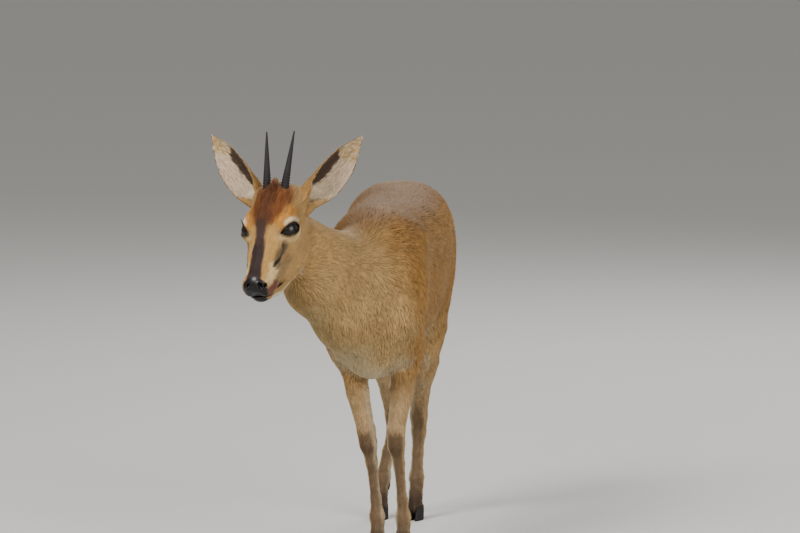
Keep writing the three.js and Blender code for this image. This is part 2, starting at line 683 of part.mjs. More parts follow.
// One half of a cloven hoof: a pointed claw with a flat sole, its inner wall straight
function clawGeometry(foot, flip, splay, grow = 0) {
  const { length, width, height, cleft } = HOOF;
  const levels = [
    { z: 0, scale: 1, back: 0 },
    { z: height * 0.34, scale: 0.95, back: 1.5 },
    { z: height * 0.72, scale: 0.82, back: 5 },
    { z: height, scale: 0.62, back: 8 },
  ];
  const sides = 14;
  const rings = levels.map(({ z, scale, back }, i) => {
    const lift = i === 0 ? z - grow : z + (i === levels.length - 1 ? grow : 0);
    return Array.from({ length: sides }, (_, k) => {
      const angle = (2 * Math.PI * k) / sides;
      const ahead = Math.cos(angle) * (length / 2) * scale;
      const taper = 1 - 0.42 * Math.max(ahead / (length / 2), 0);
      const aside = Math.sin(angle) * (width / 2) * Math.sqrt(scale) * taper;
      const flat = Math.max(aside, -width * 0.4) + width * 0.4 + cleft / 2;
      return vec(flat + Math.sin(angle) * grow, -ahead + back - Math.cos(angle) * grow, lift);
    });
  });
  const claw = loft(rings);
  if (flip) {
    claw.scale(-1, 1, 1);
    claw.setIndex(flipped(claw.index.array));
  }
  return claw.rotateZ(splay).translate(foot.x, foot.y, 0);
}

function flipped(index) {
  const turned = Array.from(index);
  for (let i = 0; i < turned.length; i += 3) [turned[i], turned[i + 1]] = [turned[i + 1], turned[i]];
  return turned;
}

// A small false hoof behind the fetlock
function dewclawGeometry(joints, flip, legSolid) {
  const fetlock = joints[joints.length - 3].at;
  const sideways = flip ? -1 : 1;
  const cone = new THREE.ConeGeometry(4.3, 15, 8);
  cone.rotateX(-1.2).translate(fetlock[0] + sideways * 5.6, fetlock[1] + 9.5, fetlock[2] - 15);
  return largestGeometry(solidOf(cone).subtract(legSolid));
}

// The tail hangs close to the buttocks, broadest below its middle
function tailGeometry() {
  const line = [[418, 462], [452, 470], [482, 446], [491, 400], [489, 344]].map(([y, z]) => vec(HIP_X, y, z));
  const halfWidth = profile([[0, 13], [0.3, 11], [0.65, 14.5], [0.9, 8], [1, 3]]);
  const stations = stationsAlong(line, evenShares(11, 0, 0.98), vec(0, 1, 0.01));
  const rings = stations.map((station, row) => {
    const wide = halfWidth(row / 10);
    return Array.from({ length: 12 }, (_, i) => {
      const angle = (2 * Math.PI * i) / 12;
      return station.centre
        .clone()
        .addScaledVector(station.across, wide * Math.sin(angle))
        .addScaledVector(station.up, 0.62 * wide * Math.cos(angle));
    });
  });
  return largestGeometry(cutAway(loft(rings, null, line[4]), torsoGeometry(GAP)));
}

const duiker = new THREE.Group();

function addNode(name, geometry, look) {
  const mesh = new THREE.Mesh(geometry, new THREE.MeshStandardMaterial({ metalness: 0, ...look }));
  mesh.name = name;
  duiker.add(mesh);
}

addNode('torso', torsoGeometry(), FURS.back);
addNode('neck', largestGeometry(cutAway(neckGeometry(), headBlank(GAP))), FURS.neck);
addNode('head', headGeometry(), FURS.face);
addNode('tail', tailGeometry(), FURS.tail);
for (const [sign, name] of [[1, 'left'], [-1, 'right']]) {
  addNode(`ear_${name}`, earGeometry(EARS[name]), FURS.ear);
  addNode(`horn_${name}`, hornGeometry(sign), HORN_BLACK);
  addNode(`eye_${name}`, eyeball(sign), EYE_BLACK);
}

for (const [name, { joints, cut, foot, splay }] of Object.entries(LEGS)) {
  const mirrored = { inner: name.endsWith('left'), outer: name.endsWith('right') };
  const hooves = Object.values(mirrored).map((flip) => clawGeometry(foot, flip, splay, GAP));
  const upper = legLength(joints, 0, cut, 10, 16);
  const lower = legLength(joints, cut, joints.length - 1, 12, 10, GAP);
  addNode(name, largestGeometry(cutAway(upper, torsoGeometry(GAP))), FURS.leg);
  addNode(name.replace('leg', 'cannon'), largestGeometry(cutAway(lower, ...hooves)), FURS.leg);
  const grown = solidOf(legLength(joints, cut, joints.length - 1, 12, 10, 0, GAP));
  for (const [place, flip] of Object.entries(mirrored)) {
    addNode(`${name.replace('leg', 'hoof')}_${place}`, clawGeometry(foot, flip, splay), HOOF_BLACK);
    addNode(`${name.replace('leg', 'dewclaw')}_${place}`, dewclawGeometry(joints, flip, grown), HOOF_BLACK);
  }
}

// The origin moves to the middle of the finished box; the soles stay on the floor
const middle = new THREE.Box3().setFromObject(duiker, true).getCenter(vec(0, 0, 0));
duiker.position.set(-middle.x, -middle.y, 0);

export default duiker;
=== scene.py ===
"""Looks of a life-size common duiker: one skin with its coat in tufts, eyes, horns and hooves.

Shapes are worked out in millimetres round an origin on the floor between the forefeet, the same
one that the solids were drawn from, and are moved into the frame, in metres, when a mesh is made.
"""

import logging
import math
from dataclasses import dataclass
from enum import Enum, IntEnum
from typing import Callable, Sequence

import bpy
import numpy as np
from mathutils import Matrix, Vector


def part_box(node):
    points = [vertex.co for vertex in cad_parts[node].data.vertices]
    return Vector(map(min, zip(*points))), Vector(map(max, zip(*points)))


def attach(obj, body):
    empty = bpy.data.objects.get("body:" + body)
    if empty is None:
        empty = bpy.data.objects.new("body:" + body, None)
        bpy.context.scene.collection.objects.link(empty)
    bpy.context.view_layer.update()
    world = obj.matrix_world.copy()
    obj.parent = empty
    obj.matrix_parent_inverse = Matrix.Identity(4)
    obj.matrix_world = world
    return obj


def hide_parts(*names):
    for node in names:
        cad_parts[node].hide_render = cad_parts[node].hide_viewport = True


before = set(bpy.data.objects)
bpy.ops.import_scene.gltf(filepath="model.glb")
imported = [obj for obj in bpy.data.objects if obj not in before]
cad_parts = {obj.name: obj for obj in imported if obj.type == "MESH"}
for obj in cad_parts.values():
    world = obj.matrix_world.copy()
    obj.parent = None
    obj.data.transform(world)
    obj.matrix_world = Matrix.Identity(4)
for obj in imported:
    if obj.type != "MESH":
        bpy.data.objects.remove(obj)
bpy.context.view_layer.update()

LOG = logging.getLogger("duiker")
Array = np.ndarray
Triple = tuple[float, float, float]

MM = 0.001
FAR = 60.0
LEFT, RIGHT = 1.0, -1.0
MID_BODY = 200.0
HEAD_MIDDLE = (8.0, 0.0, -5.0)

WITHERS_HEIGHT = 500.0
RUMP_HEIGHT = 514.0
BRISKET_HEIGHT = 258.0
HIP_X = -16.0
BODY_DEPTH = 4.6
LEG_DEPTH = 1.4
TAIL_DEPTH = 4.5
FACE_DEPTH = 1.2


def smooth(low: float, high: float, value: Array) -> Array:
    """Smooth step from 0 at low to 1 at high, or the other way round when low is the larger."""
    share = np.clip((value - low) / (high - low), 0.0, 1.0)
    return share * share * (3.0 - 2.0 * share)


def unit(rows: Array) -> Array:
    """Rows scaled to length 1."""
    return rows / np.maximum(np.linalg.norm(rows, axis=-1, keepdims=True), 1e-9)


def mixed(first: Array, second: Array, share: Array) -> Array:
    """First turned into second by a share for each row."""
    return first + (second - first) * np.asarray(share)[..., None]


def side_name(side: float) -> str:
    """The word for a side of the animal."""
    return "left" if side > 0 else "right"


def one_sided(local: Array) -> Array:
    """Points of the head's frame, all brought to its left side."""
    return local * (1.0, 0.0, 1.0) + np.abs(local) * (0.0, 1.0, 0.0)


def melt(first: Array, second: Array, blend: float) -> Array:
    """Union of two distances, rounded over the length blend."""
    overlap = np.maximum(blend - np.abs(first - second), 0.0) / blend
    return np.minimum(first, second) - overlap * overlap * blend / 4.0


def carve(solid: Array, tool: Array, blend: float) -> Array:
    """A solid with a tool cut out of it, the edge rounded over the length blend."""
    return -melt(-solid, tool, blend)


def drift(points: Array, size: float | Array, seed: int) -> Array:
    """Smooth random values between -1 and 1 over space.

    Args:
        points: Places, one to a row.
        size: Length over which the value changes, one number or one for each axis.
        seed: Which of many such fields.

    Returns:
        One value for each row.
    """
    place = points / size + 500.0
    cell = np.floor(place).astype(np.int64)
    share = place - cell
    share = share * share * (3.0 - 2.0 * share)
    total = np.zeros(len(points))
    for corner in range(8):
        step = np.array([corner & 1, (corner >> 1) & 1, corner >> 2])
        key = (cell + step) @ np.array([73856093, 19349663, 83492791]) + seed * 97531
        key = ((key ^ (key >> 13)) * 1274126177) & 0x7FFFFFFF
        key = ((key ^ (key >> 15)) * 2246822519) & 0x7FFFFFFF
        weight = np.prod(np.where(step, share, 1.0 - share), axis=1)
        total += (key / float(0x40000000) - 1.0) * weight
    return total


def profile(stops: Sequence[tuple[float, float]]) -> Callable[[Array], Array]:
    """A smooth curve through stops of place and value, flat before the first and after the last."""
    places, values = np.array(stops, dtype=float).T
    slopes = np.gradient(values, places)

    def value_at(place: Array) -> Array:
        """The curve's value at each place."""
        place = np.clip(np.asarray(place, dtype=float), places[0], places[-1])
        i = np.clip(np.searchsorted(places, place) - 1, 0, len(places) - 2)
        span = places[i + 1] - places[i]
        x = (place - places[i]) / span
        v0, v1 = values[i], values[i + 1]
        m0, m1 = slopes[i] * span, slopes[i + 1] * span
        cubic = 2 * v0 - 2 * v1 + m0 + m1
        return v0 + x * (m0 + x * (3 * v1 - 3 * v0 - 2 * m0 - m1 + x * cubic))

    return value_at


@dataclass(frozen=True)
class Mass:
    """A rounded mass of flesh, turned about the left-right axis by pitch degrees."""

    centre: Triple
    radii: Triple
    blend: float = 22.0
    pitch: float = 0.0

    def box(self) -> tuple[Array, Array]:
        """Lowest and highest corner of the mass."""
        half = np.array(self.radii, dtype=float)
        if self.pitch:
            half[1:] = half[1:].max()
        return np.array(self.centre) - half, np.array(self.centre) + half

    def distance(self, points: Array) -> Array:
        """Signed distance of each point from the mass."""
        x, y, z = (points - np.array(self.centre)).T
        turn = math.radians(self.pitch)
        y, z = math.cos(turn) * y + math.sin(turn) * z, math.cos(turn) * z - math.sin(turn) * y
        rx, ry, rz = self.radii
        near = np.sqrt((x / rx) ** 2 + (y / ry) ** 2 + (z / rz) ** 2)
        slope = np.sqrt((x / rx**2) ** 2 + (y / ry**2) ** 2 + (z / rz**2) ** 2)
        return np.where(slope < 1e-9, -min(self.radii), near * (near - 1.0) / np.maximum(slope, 1e-9))


@dataclass(frozen=True)
class Limb:
    """A tapered limb from one joint to the next; width scales it from side to side."""

    start: Triple
    end: Triple
    start_radius: float
    end_radius: float
    blend: float = 12.0
    width: float = 1.0

    def box(self) -> tuple[Array, Array]:
        """Lowest and highest corner of the limb."""
        ends = np.array([self.start, self.end])
        radius = max(self.start_radius, self.end_radius)
        return ends.min(axis=0) - radius, ends.max(axis=0) + radius

    def distance(self, points: Array) -> Array:
        """Signed distance of each point from the limb."""
        span = np.array(self.end) - np.array(self.start)
        away = points - np.array(self.start)
        share = np.clip(away @ span / (span @ span), 0.0, 1.0)
        off = away - share[:, None] * span
        off[:, 0] /= self.width
        radius = self.start_radius + share * (self.end_radius - self.start_radius)
        return np.linalg.norm(off, axis=1) - radius


@dataclass(frozen=True)
class Forms:
    """Masses and limbs that melt into one another in their order."""

    parts: tuple[Mass | Limb, ...]

    def distance(self, points: Array) -> Array:
        """Signed distance of each point from the joined forms, or FAR where it is far from all."""
        total = np.full(len(points), FAR)
        for part in self.parts:
            low, high = part.box()
            margin = part.blend + 12.0
            near = np.flatnonzero(np.all((points > low - margin) & (points < high + margin), axis=1))
            if near.size:
                total[near] = melt(total[near], part.distance(points[near]), part.blend)
        return total


def both(make: Callable[[Callable[[Triple], Triple]], Mass | Limb], axis: int = 0) -> list[Mass | Limb]:
    """The same form on both sides of the middle plane.

    Args:
        make: Makes the form, given a function that places a point on its side.
        axis: Number of the axis that is mirrored.

    Returns:
        The form and its mirror image.
    """

    def mirrored(point: Triple) -> Triple:
        """The point on the other side."""
        return tuple(-value if i == axis else value for i, value in enumerate(point))

    return [make(lambda point: point), make(mirrored)]


def at_hips(place: Callable[[Triple], Triple]) -> Callable[[Triple], Triple]:
    """A placing that is moved aside to the hips, which stand a little to the right."""
    return lambda point: tuple(value + HIP_X * (i == 0) for i, value in enumerate(place(point)))


TRUNK = Forms(
    (
        Mass((0, 118, 384), (70, 180, 112)),
        Mass((-5, 215, 388), (75, 150, 104)),
        Mass((-8, 240, 440), (65, 130, 66), 30),
        Mass((-9, 130, 448), (57, 120, 53), 30),
        Mass((0, 50, WITHERS_HEIGHT - 50), (30, 90, 46), 30),
        Mass((0, -2, BRISKET_HEIGHT + 78), (48, 62, 76), 30),
        Mass((0, 60, BRISKET_HEIGHT + 54), (46, 90, 52), 30),
        *both(lambda m: Mass(m((42, 28, 388)), (30, 58, 90), 26, -18)),
        *both(lambda m: Limb(m((44, -22, 350)), m((44, 38, 300)), 32, 30, 26, 0.8)),
        Mass((HIP_X / 2, 275, RUMP_HEIGHT - 92), (64, 120, 88), 30),
        Mass((HIP_X, 350, RUMP_HEIGHT - 88), (63, 102, 88), 30),
        *both(lambda m: Limb(m((30, 70, WITHERS_HEIGHT - 47)), m((34, 250, WITHERS_HEIGHT - 44)), 33, 36, 26)),
        *both(lambda m: Mass(at_hips(m)((29, 312, RUMP_HEIGHT - 54)), (36, 95, 50), 20)),
        *both(lambda m: Mass(at_hips(m)((40, 300, 428)), (33, 90, 60), 26)),
        *both(lambda m: Mass(at_hips(m)((36, 356, 388)), (38, 86, 94), 26, 16)),
        *both(lambda m: Mass(at_hips(m)((28, 422, 398)), (32, 50, 70), 24, 8)),
        *both(lambda m: Limb(at_hips(m)((36, 352, 366)), at_hips(m)((36, 360, 334)), 68, 57, 24, 0.5)),
        Limb((0, 40, 452), (-44, -56, 441), 36, 30, 24, 0.9),
        Limb((-44, -56, 441), (-104, -142, 500), 30, 24.5, 24, 0.95),
        Limb((0, 0, 335), (-25, -50, 356), 47, 45, 30),
        Limb((-25, -50, 356), (-64, -96, 404), 45, 41, 30),
        Limb((-64, -96, 404), (-97, -128, 464), 41, 31, 24),
        Limb((-20, -20, 400), (-82, -112, 460), 48, 36, 30),
    )
)

SKULL = Forms(
    (
        Mass((-46, 0, 1), (41, 35, 35), 14),
        Mass((-20, 0, 12), (44, 29, 25), 16),
        Limb((8, 0, 1), (80, 0, -8), 24.5, 14.5, 14),
        Mass((88, 0, -10.5), (15, 21, 14.5), 8),
        *both(lambda m: Mass(m((74, 12, -21)), (26, 12.5, 13), 9), 1),
        Limb((-28, 0, -47), (73, 0, -39), 23, 12, 12),
        Mass((86, 0, -33), (13, 15, 10.5), 8),
        *both(lambda m: Mass(m((-6, 18, -36)), (44, 17, 32), 14), 1),
        *both(lambda m: Limb(m((-6, 19, -50)), m((62, 10.5, -44)), 18, 12, 12), 1),
        *both(lambda m: Mass(m((-40, 15, -34)), (22, 15, 26), 14), 1),
        *both(lambda m: Limb(m((12, 14, -15)), m((52, 10, -17)), 15.5, 14.5, 12), 1),
        *both(lambda m: Mass(m((-8, 25, 13)), (20, 9.5, 11), 12), 1),
        *both(lambda m: Mass(m((-9, 24, 3)), (19.5, 15.5, 19), 12), 1),
        *both(lambda m: Limb(m((15, 21, -14)), m((-34, 30, -9)), 8.5, 9.5, 12), 1),
        *both(lambda m: Limb(m((16, 19, 0)), m((44, 12, -5)), 7, 8, 12), 1),
        *both(lambda m: Mass(m((-60, 26, 4)), (17, 15, 18), 14), 1),
    )
)


@dataclass(frozen=True)
class Joint:
    """A place along a leg with its radius and its side-to-side width."""

    at: Triple
    radius: float
    width: float


@dataclass(frozen=True)
class Leg:
    """One leg: its joints from inside the body down to the pastern, and its foot."""

    name: str
    joints: tuple[Joint, ...]
    foot: tuple[float, float]
    splay: float

    def forms(self) -> Forms:
        """The lengths of the leg between its joints."""
        pairs = zip(self.joints, self.joints[1:])
        return Forms(
            tuple(Limb(a.at, b.at, a.radius, b.radius, 6.0, (a.width + b.width) / 2) for a, b in pairs)
        )


def foreleg(name: str, rows: Sequence[Triple], foot: tuple[float, float], splay: float) -> Leg:
    """A foreleg from the x, y and z of its joints."""
    radii = (24, 18.5, 14.5, 13.4, 9, 8.2, 11.2, 9.6, 11.5)
    widths = (0.8, 0.86, 0.9, 0.95, 0.9, 0.92, 0.95, 1.0, 1.08)
    return Leg(name, tuple(Joint(*joint) for joint in zip(rows, radii, widths)), foot, splay)


def hindleg(name: str, side: float, foot: tuple[float, float], hock: float, splay: float) -> Leg:
    """A hind leg from its side, its foot and the place of its hock from side to side.

    Args:
        name: Name of the leg.
        side: 1 for the left, -1 for the right.
        foot: x and y of the foot.
        hock: x of the hock.
        splay: Turn of the foot about the upright, in radians.

    Returns:
        The leg, from the hip to the pastern.
    """
    hip = HIP_X + side * 35
    x, y = foot
    rows = (
        ((HIP_X + side * 36, 362, 330), 51, 0.46),
        ((hip, 371, 288), 47, 0.5),
        ((0.6 * hip + 0.4 * hock, 386, 238), 33, 0.62),
        ((0.2 * hip + 0.8 * hock, 408, 190), 19.5, 0.74),
        ((hock, 427, 152), 16, 0.78),
        ((hock, 427, 128), 12.5, 0.84),
        ((0.5 * (hock + x), y + 26, 98), 9.2, 0.86),
        ((0.15 * hock + 0.85 * x, y + 15, 62), 11.4, 0.95),
        ((x, y + 8, 38), 9.6, 1.0),
        ((x, y + 4, 17), 11.5, 1.08),
    )
    return Leg(name, tuple(Joint(*row) for row in rows), foot, splay)


FORE_LEFT = (
    (45, 40, 302), (40, 22, 240), (36, -4, 186), (37, -5, 168), (40, 0, 140),
    (44, 4, 88), (45.5, 4, 62), (46.5, -2, 38), (47, -4, 17),
)
FORE_RIGHT = (
    (-40, 40, 302), (-24, 22, 240), (-7, -2, 186), (-4, -3, 168), (0, 3, 140),
    (5, 8, 88), (7, 8, 62), (8.5, 2, 38), (9, 0, 17),
)
LEGS = (
    foreleg("fore_left", FORE_LEFT, (47, -10), -0.04),
    foreleg("fore_right", FORE_RIGHT, (9, -6), 0.04),
    hindleg("hind_left", LEFT, (-5, 392), -5, -0.08),
    hindleg("hind_right", RIGHT, (-58, 392), -43, 0.08),
)

TAIL_LINE = ((418, 462), (452, 470), (482, 446), (491, 400), (489, 350))
TAIL_RADII = (11, 10, 9, 9, 5)
TAIL = Forms(
    tuple(
        Limb((HIP_X, *a), (HIP_X, *b), ra * 0.72, rb * 0.72, 6.0, 1.35)
        for a, b, ra, rb in zip(TAIL_LINE, TAIL_LINE[1:], TAIL_RADII, TAIL_RADII[1:])
    )
)


@dataclass(frozen=True)
class HeadFrame:
    """The head's own axes: forward along the muzzle, left, and up through the crown."""

    origin: Triple = (-108.8, -185.0, 485.9)
    pitch: float = 40.5
    yaw: float = -8.6
    roll: float = 4.1

    def axes(self) -> Array:
        """Rows forward, left and up, seen from the body."""
        pitch, yaw, roll = (math.radians(angle) for angle in (self.pitch, self.yaw, self.roll))
        forward = np.array(
            [math.sin(yaw) * math.cos(pitch), -math.cos(yaw) * math.cos(pitch), -math.sin(pitch)]
        )
        level = unit(np.cross([0.0, 0.0, 1.0], forward))
        left = level * math.cos(roll) + np.cross(forward, level) * math.sin(roll)
        return np.stack([forward, left, np.cross(forward, left)])

    def inward(self, points: Array) -> Array:
        """Places of the body's frame, in the head's."""
        return (points - np.array(self.origin)) @ self.axes().T

    def outward(self, points: Array) -> Array:
        """Places of the head's frame, in the body's."""
        return np.array(self.origin) + points @ self.axes()

    def turned(self, directions: Array) -> Array:
        """Directions of the head's frame, in the body's."""
        return directions @ self.axes()


HEAD = HeadFrame()


@dataclass(frozen=True)
class EyeSocket:
    """One eye: its ball, the way it looks and the almond between its lids, in the head's frame."""

    UPPER, LOWER, SLANT = 0.56, 0.44, 0.06

    side: float
    radius: float = 15.5
    centre: Triple = (-1.0, 26.2, 5.5)
    look: Triple = (0.5, 0.74, 0.45)
    length: float = 31.0
    height: float = 14.0
    tilt: float = -36.0
    lid: float = 1.4

    def middle(self) -> Array:
        """Centre of the ball."""
        return np.array(self.centre) * (1.0, self.side, 1.0)

    def axes(self) -> Array:
        """Rows to the nose corner, up across the lids, and outwards."""
        outward = unit(np.array(self.look) * (1.0, self.side, 1.0))
        nose = unit(np.array([1.0, 0.0, 0.0]) - outward * outward[0])
        crown = np.cross(outward, nose) * -self.side
        turn = math.radians(self.tilt)
        corner = nose * math.cos(turn) - crown * math.sin(turn)
        across = crown * math.cos(turn) + nose * math.sin(turn)
        return np.stack([corner, across, outward])

    def inward(self, points: Array) -> Array:
        """Places of the head's frame, seen from the eye."""
        return (points - self.middle()) @ self.axes().T

    def outward(self, points: Array) -> Array:
        """Places seen from the eye, in the head's frame."""
        return self.middle() + points @ self.axes()

    def outline(self, share: Array, grow: float = 0.0) -> Array:
        """Points round the almond, from the nose corner over the upper lid and back below.

        Args:
            share: Share of the way round, 0 to 1.
            grow: How far outside the almond, in millimetres.

        Returns:
            Two columns: towards the nose corner, and up.
        """
        angle = 2.0 * np.pi * share
        x = np.cos(angle)
        half = self.length / 2 + grow
        upper = self.UPPER * self.height + grow
        lower = self.LOWER * self.height + grow
        lift = np.where(np.sin(angle) > 0, upper * (1.0 - 0.16 * x), lower * (1.0 - 0.1 * x))
        body = np.sign(np.sin(angle)) * np.abs(np.sin(angle)) ** 1.25
        return np.stack([half * x, lift * body - self.SLANT * self.height * x], axis=1)

    def opening(self, local: Array) -> Array:
        """Distance from the almond of points seen from the eye, less than 0 inside it."""
        x = local[:, 0] / (self.length / 2)
        y = local[:, 1] + self.SLANT * self.height * x
        upper = self.UPPER * self.height * (1.0 - 0.16 * x)
        lower = self.LOWER * self.height * (1.0 - 0.1 * x)
        side = np.where(y > 0, upper, lower)
        bow = np.clip(1.0 - x * x, 0.0, 1.0) ** 0.62
        inside = np.abs(y) - side * bow
        beyond = np.hypot(np.maximum(np.abs(local[:, 0]) - self.length / 2, 0.0), np.abs(y) * 0.9)
        return np.where(np.abs(x) < 1.0, inside * 0.85, beyond)


EYES = (EyeSocket(LEFT), EyeSocket(RIGHT))
MOUTH_CORNER, MOUTH_FRONT = (60.0, -38.0), (97.0, -26.7)
NOSTRILS = (((98.0, 10.4, -4.5), (7.0, 2.7, 4.6), 0.75), ((93.0, 15.0, -7.0), (6.0, 2.2, 2.2), 0.5))
GLAND = ((24.0, 26.8, 3.2), (31.0, 26.6, -2.6), (44.0, 24.0, -5.6), (58.0, 20.6, -4.2))
GLAND_RADII = (1.5, 0.8, 1.1, 1.6)


def gland_reach(local: Array, width: float) -> Array:
    """Distance of each point of the head from the curved gland line of its side.

    Args:
        local: Points of the head's frame.
        width: Half the width of the line at its middle.

    Returns:
        One distance for each point, less than nothing inside the line.
    """
    local = one_sided(local)
    reach = np.full(len(local), np.inf)
    for start, end, low, high in zip(GLAND, GLAND[1:], GLAND_RADII, GLAND_RADII[1:]):
        reach = np.minimum(reach, Limb(start, end, low * width, high * width).distance(local))
    return reach


def mouth_height(forward: Array) -> Array:
    """Height of the line of the mouth at each place along the muzzle."""
    slope = (MOUTH_FRONT[1] - MOUTH_CORNER[1]) / (MOUTH_FRONT[0] - MOUTH_CORNER[0])
    return MOUTH_CORNER[1] + slope * (forward - MOUTH_CORNER[0])


class Flesh:
    """The skin's surface as a signed distance, in the body's frame."""

    def __init__(self) -> None:
        """Keeps the forms of each leg."""
        self.legs = [leg.forms() for leg in LEGS]

    def skull(self, local: Array) -> Array:
        """Distance from the skin of the head for points of the head's frame.

        Args:
            local: Points of the head's frame.

        Returns:
            The distances, less than 0 inside.
        """
        flesh = SKULL.distance(local) + FACE_DEPTH
        mirrored = one_sided(local)
        for eye in EYES:
            seen = eye.inward(local)
            ball = np.linalg.norm(seen, axis=1)
            flesh = melt(flesh, ball - (eye.radius + eye.lid), 5.0)
            well = np.maximum(eye.opening(seen), 2.0 - seen[:, 2])
            flesh = carve(flesh, well, 1.0)
        flesh = carve(flesh, gland_reach(local, 1.6), 2.0)
        for place, radii, turn in NOSTRILS:
            away = mirrored - np.array(place)
            x = away[:, 0] * math.cos(turn) + away[:, 1] * math.sin(turn)
            y = away[:, 1] * math.cos(turn) - away[:, 0] * math.sin(turn)
            flesh = carve(flesh, Mass((0, 0, 0), radii).distance(np.stack([x, y, away[:, 2]], axis=1)), 1.6)
        line = np.abs(local[:, 2] - mouth_height(local[:, 0])) - 0.9
        groove = np.maximum(np.maximum(line, -(flesh + 2.6)), MOUTH_CORNER[0] - local[:, 0])
        return carve(flesh, groove, 1.2)

    def parts(self, points: Array) -> Array:
        """Distances from the trunk, the head, each leg and the tail, a column each.

        Args:
            points: Points of the body's frame.

        Returns:
            The distances, a row for each point.
        """
        columns = [TRUNK.distance(points) + BODY_DEPTH]
        local = HEAD.inward(points)
        head = np.full(len(points), FAR)
        near = np.flatnonzero(np.abs(local - HEAD_MIDDLE).max(axis=1) < 125.0)
        if near.size:
            head[near] = self.skull(local[near])
        columns.append(head)
        columns += [leg.distance(points) + LEG_DEPTH for leg in self.legs]
        columns.append(TAIL.distance(points) + TAIL_DEPTH - 3.0)
        return np.stack(columns, axis=1)

    def distance(self, points: Array) -> Array:
        """Signed distance of each point from the whole skin."""
        parts = self.parts(points)
        total = parts[:, 0]
        for column, blend in ((2, 12.0), (3, 12.0), (4, 12.0), (5, 12.0), (6, 6.0)):
            total = melt(total, parts[:, column], blend)
        return melt(total, parts[:, 1], 9.0)

    def slope(self, points: Array, step: float = 0.5) -> Array:
        """Direction straight out of the skin at each point."""
        total = np.zeros_like(points)
        for corner in ((1, -1, -1), (-1, -1, 1), (-1, 1, -1), (1, 1, 1)):
            toward = np.array(corner, dtype=float)
            total += self.distance(points + toward * step)[:, None] * toward
        return unit(total)


@dataclass(frozen=True)
class Ear:
    """One cupped ear, a thin wall bent round its length."""

    name: str
    side: float
    base: Triple
    tip: Triple
    opening: Triple
    half_width: float
    thickness: float = 2.2

    def frame(self) -> tuple[Array, Array, Array, Array]:
        """Foot, length with its direction, direction of the opening, and across."""
        foot, tip = HEAD.outward(np.array([self.base, self.tip], dtype=float))
        axis = tip - foot
        along = unit(axis)
        facing = HEAD.turned(np.array(self.opening))
        facing = unit(facing - along * (facing @ along))
        return foot, axis, facing, np.cross(along, facing)

    def wall(self, along: Array, around: Array, depth: Array | float) -> Array:
        """Places on the wall.

        Args:
            along: Share of the length, from -0.22 inside the head to 1 at the tip.
            around: Place across the wall, -1 to 1 from edge to edge.
            depth: Share of the wall's thickness, 0 outside and 1 inside.

        Returns:
            Points, one to a row.
        """
        foot, axis, facing, across = self.frame()
        angle = EAR_ANGLE(along)
        radius = self.half_width * EAR_WIDTH(along) / np.sin(np.minimum(angle, math.pi / 2))
        sunk, filled = EAR_SUNK(along), EAR_FILLED(along)
        bow = 7.0 * np.sin(math.pi * np.maximum(along, 0.0))
        lift = radius * (1.0 - sunk) - bow
        wall = np.maximum(np.minimum(self.thickness, 0.6 * radius), filled * radius * 0.9)
        reach = radius - COAT_OF_EAR - (wall - COAT_OF_EAR) * depth * (1.0 - 0.55 * around**2 * (1.0 - filled))
        turn = angle * around
        return (
            foot
            + along[:, None] * axis
            + lift[:, None] * facing
            + (reach * np.sin(turn))[:, None] * across
            - (reach * np.cos(turn))[:, None] * facing
        )


COAT_OF_EAR = 0.7
EAR_COLUMNS = 29
EAR_UNWRAP = (2.1, 1.5)
EAR_ANGLE = profile([(0, 2.5), (0.1, 2.25), (0.2, 1.85), (0.32, 1.5), (0.6, 1.15), (1, 0.8)])
EAR_WIDTH = profile([(0, 0.66), (0.2, 0.88), (0.42, 1), (0.66, 0.82), (0.88, 0.38), (1, 0.06)])
EAR_SUNK = profile([(0, 0.8), (0.15, 0.5), (0.3, 0.12), (0.4, 0), (1, 0)])
EAR_FILLED = profile([(0, 0.9), (0.1, 0.6), (0.2, 0.15), (0.3, 0), (1, 0)])
EARS = (
    Ear("left", LEFT, (-62, 34, 0), (-152.9, 105.9, 34.1), (0.61, 0.72, 0.31), 24.5),
    Ear("right", RIGHT, (-62, -32, -1), (-145.6, -114.2, 51.9), (0.68, -0.22, 0.7), 23.0),
)


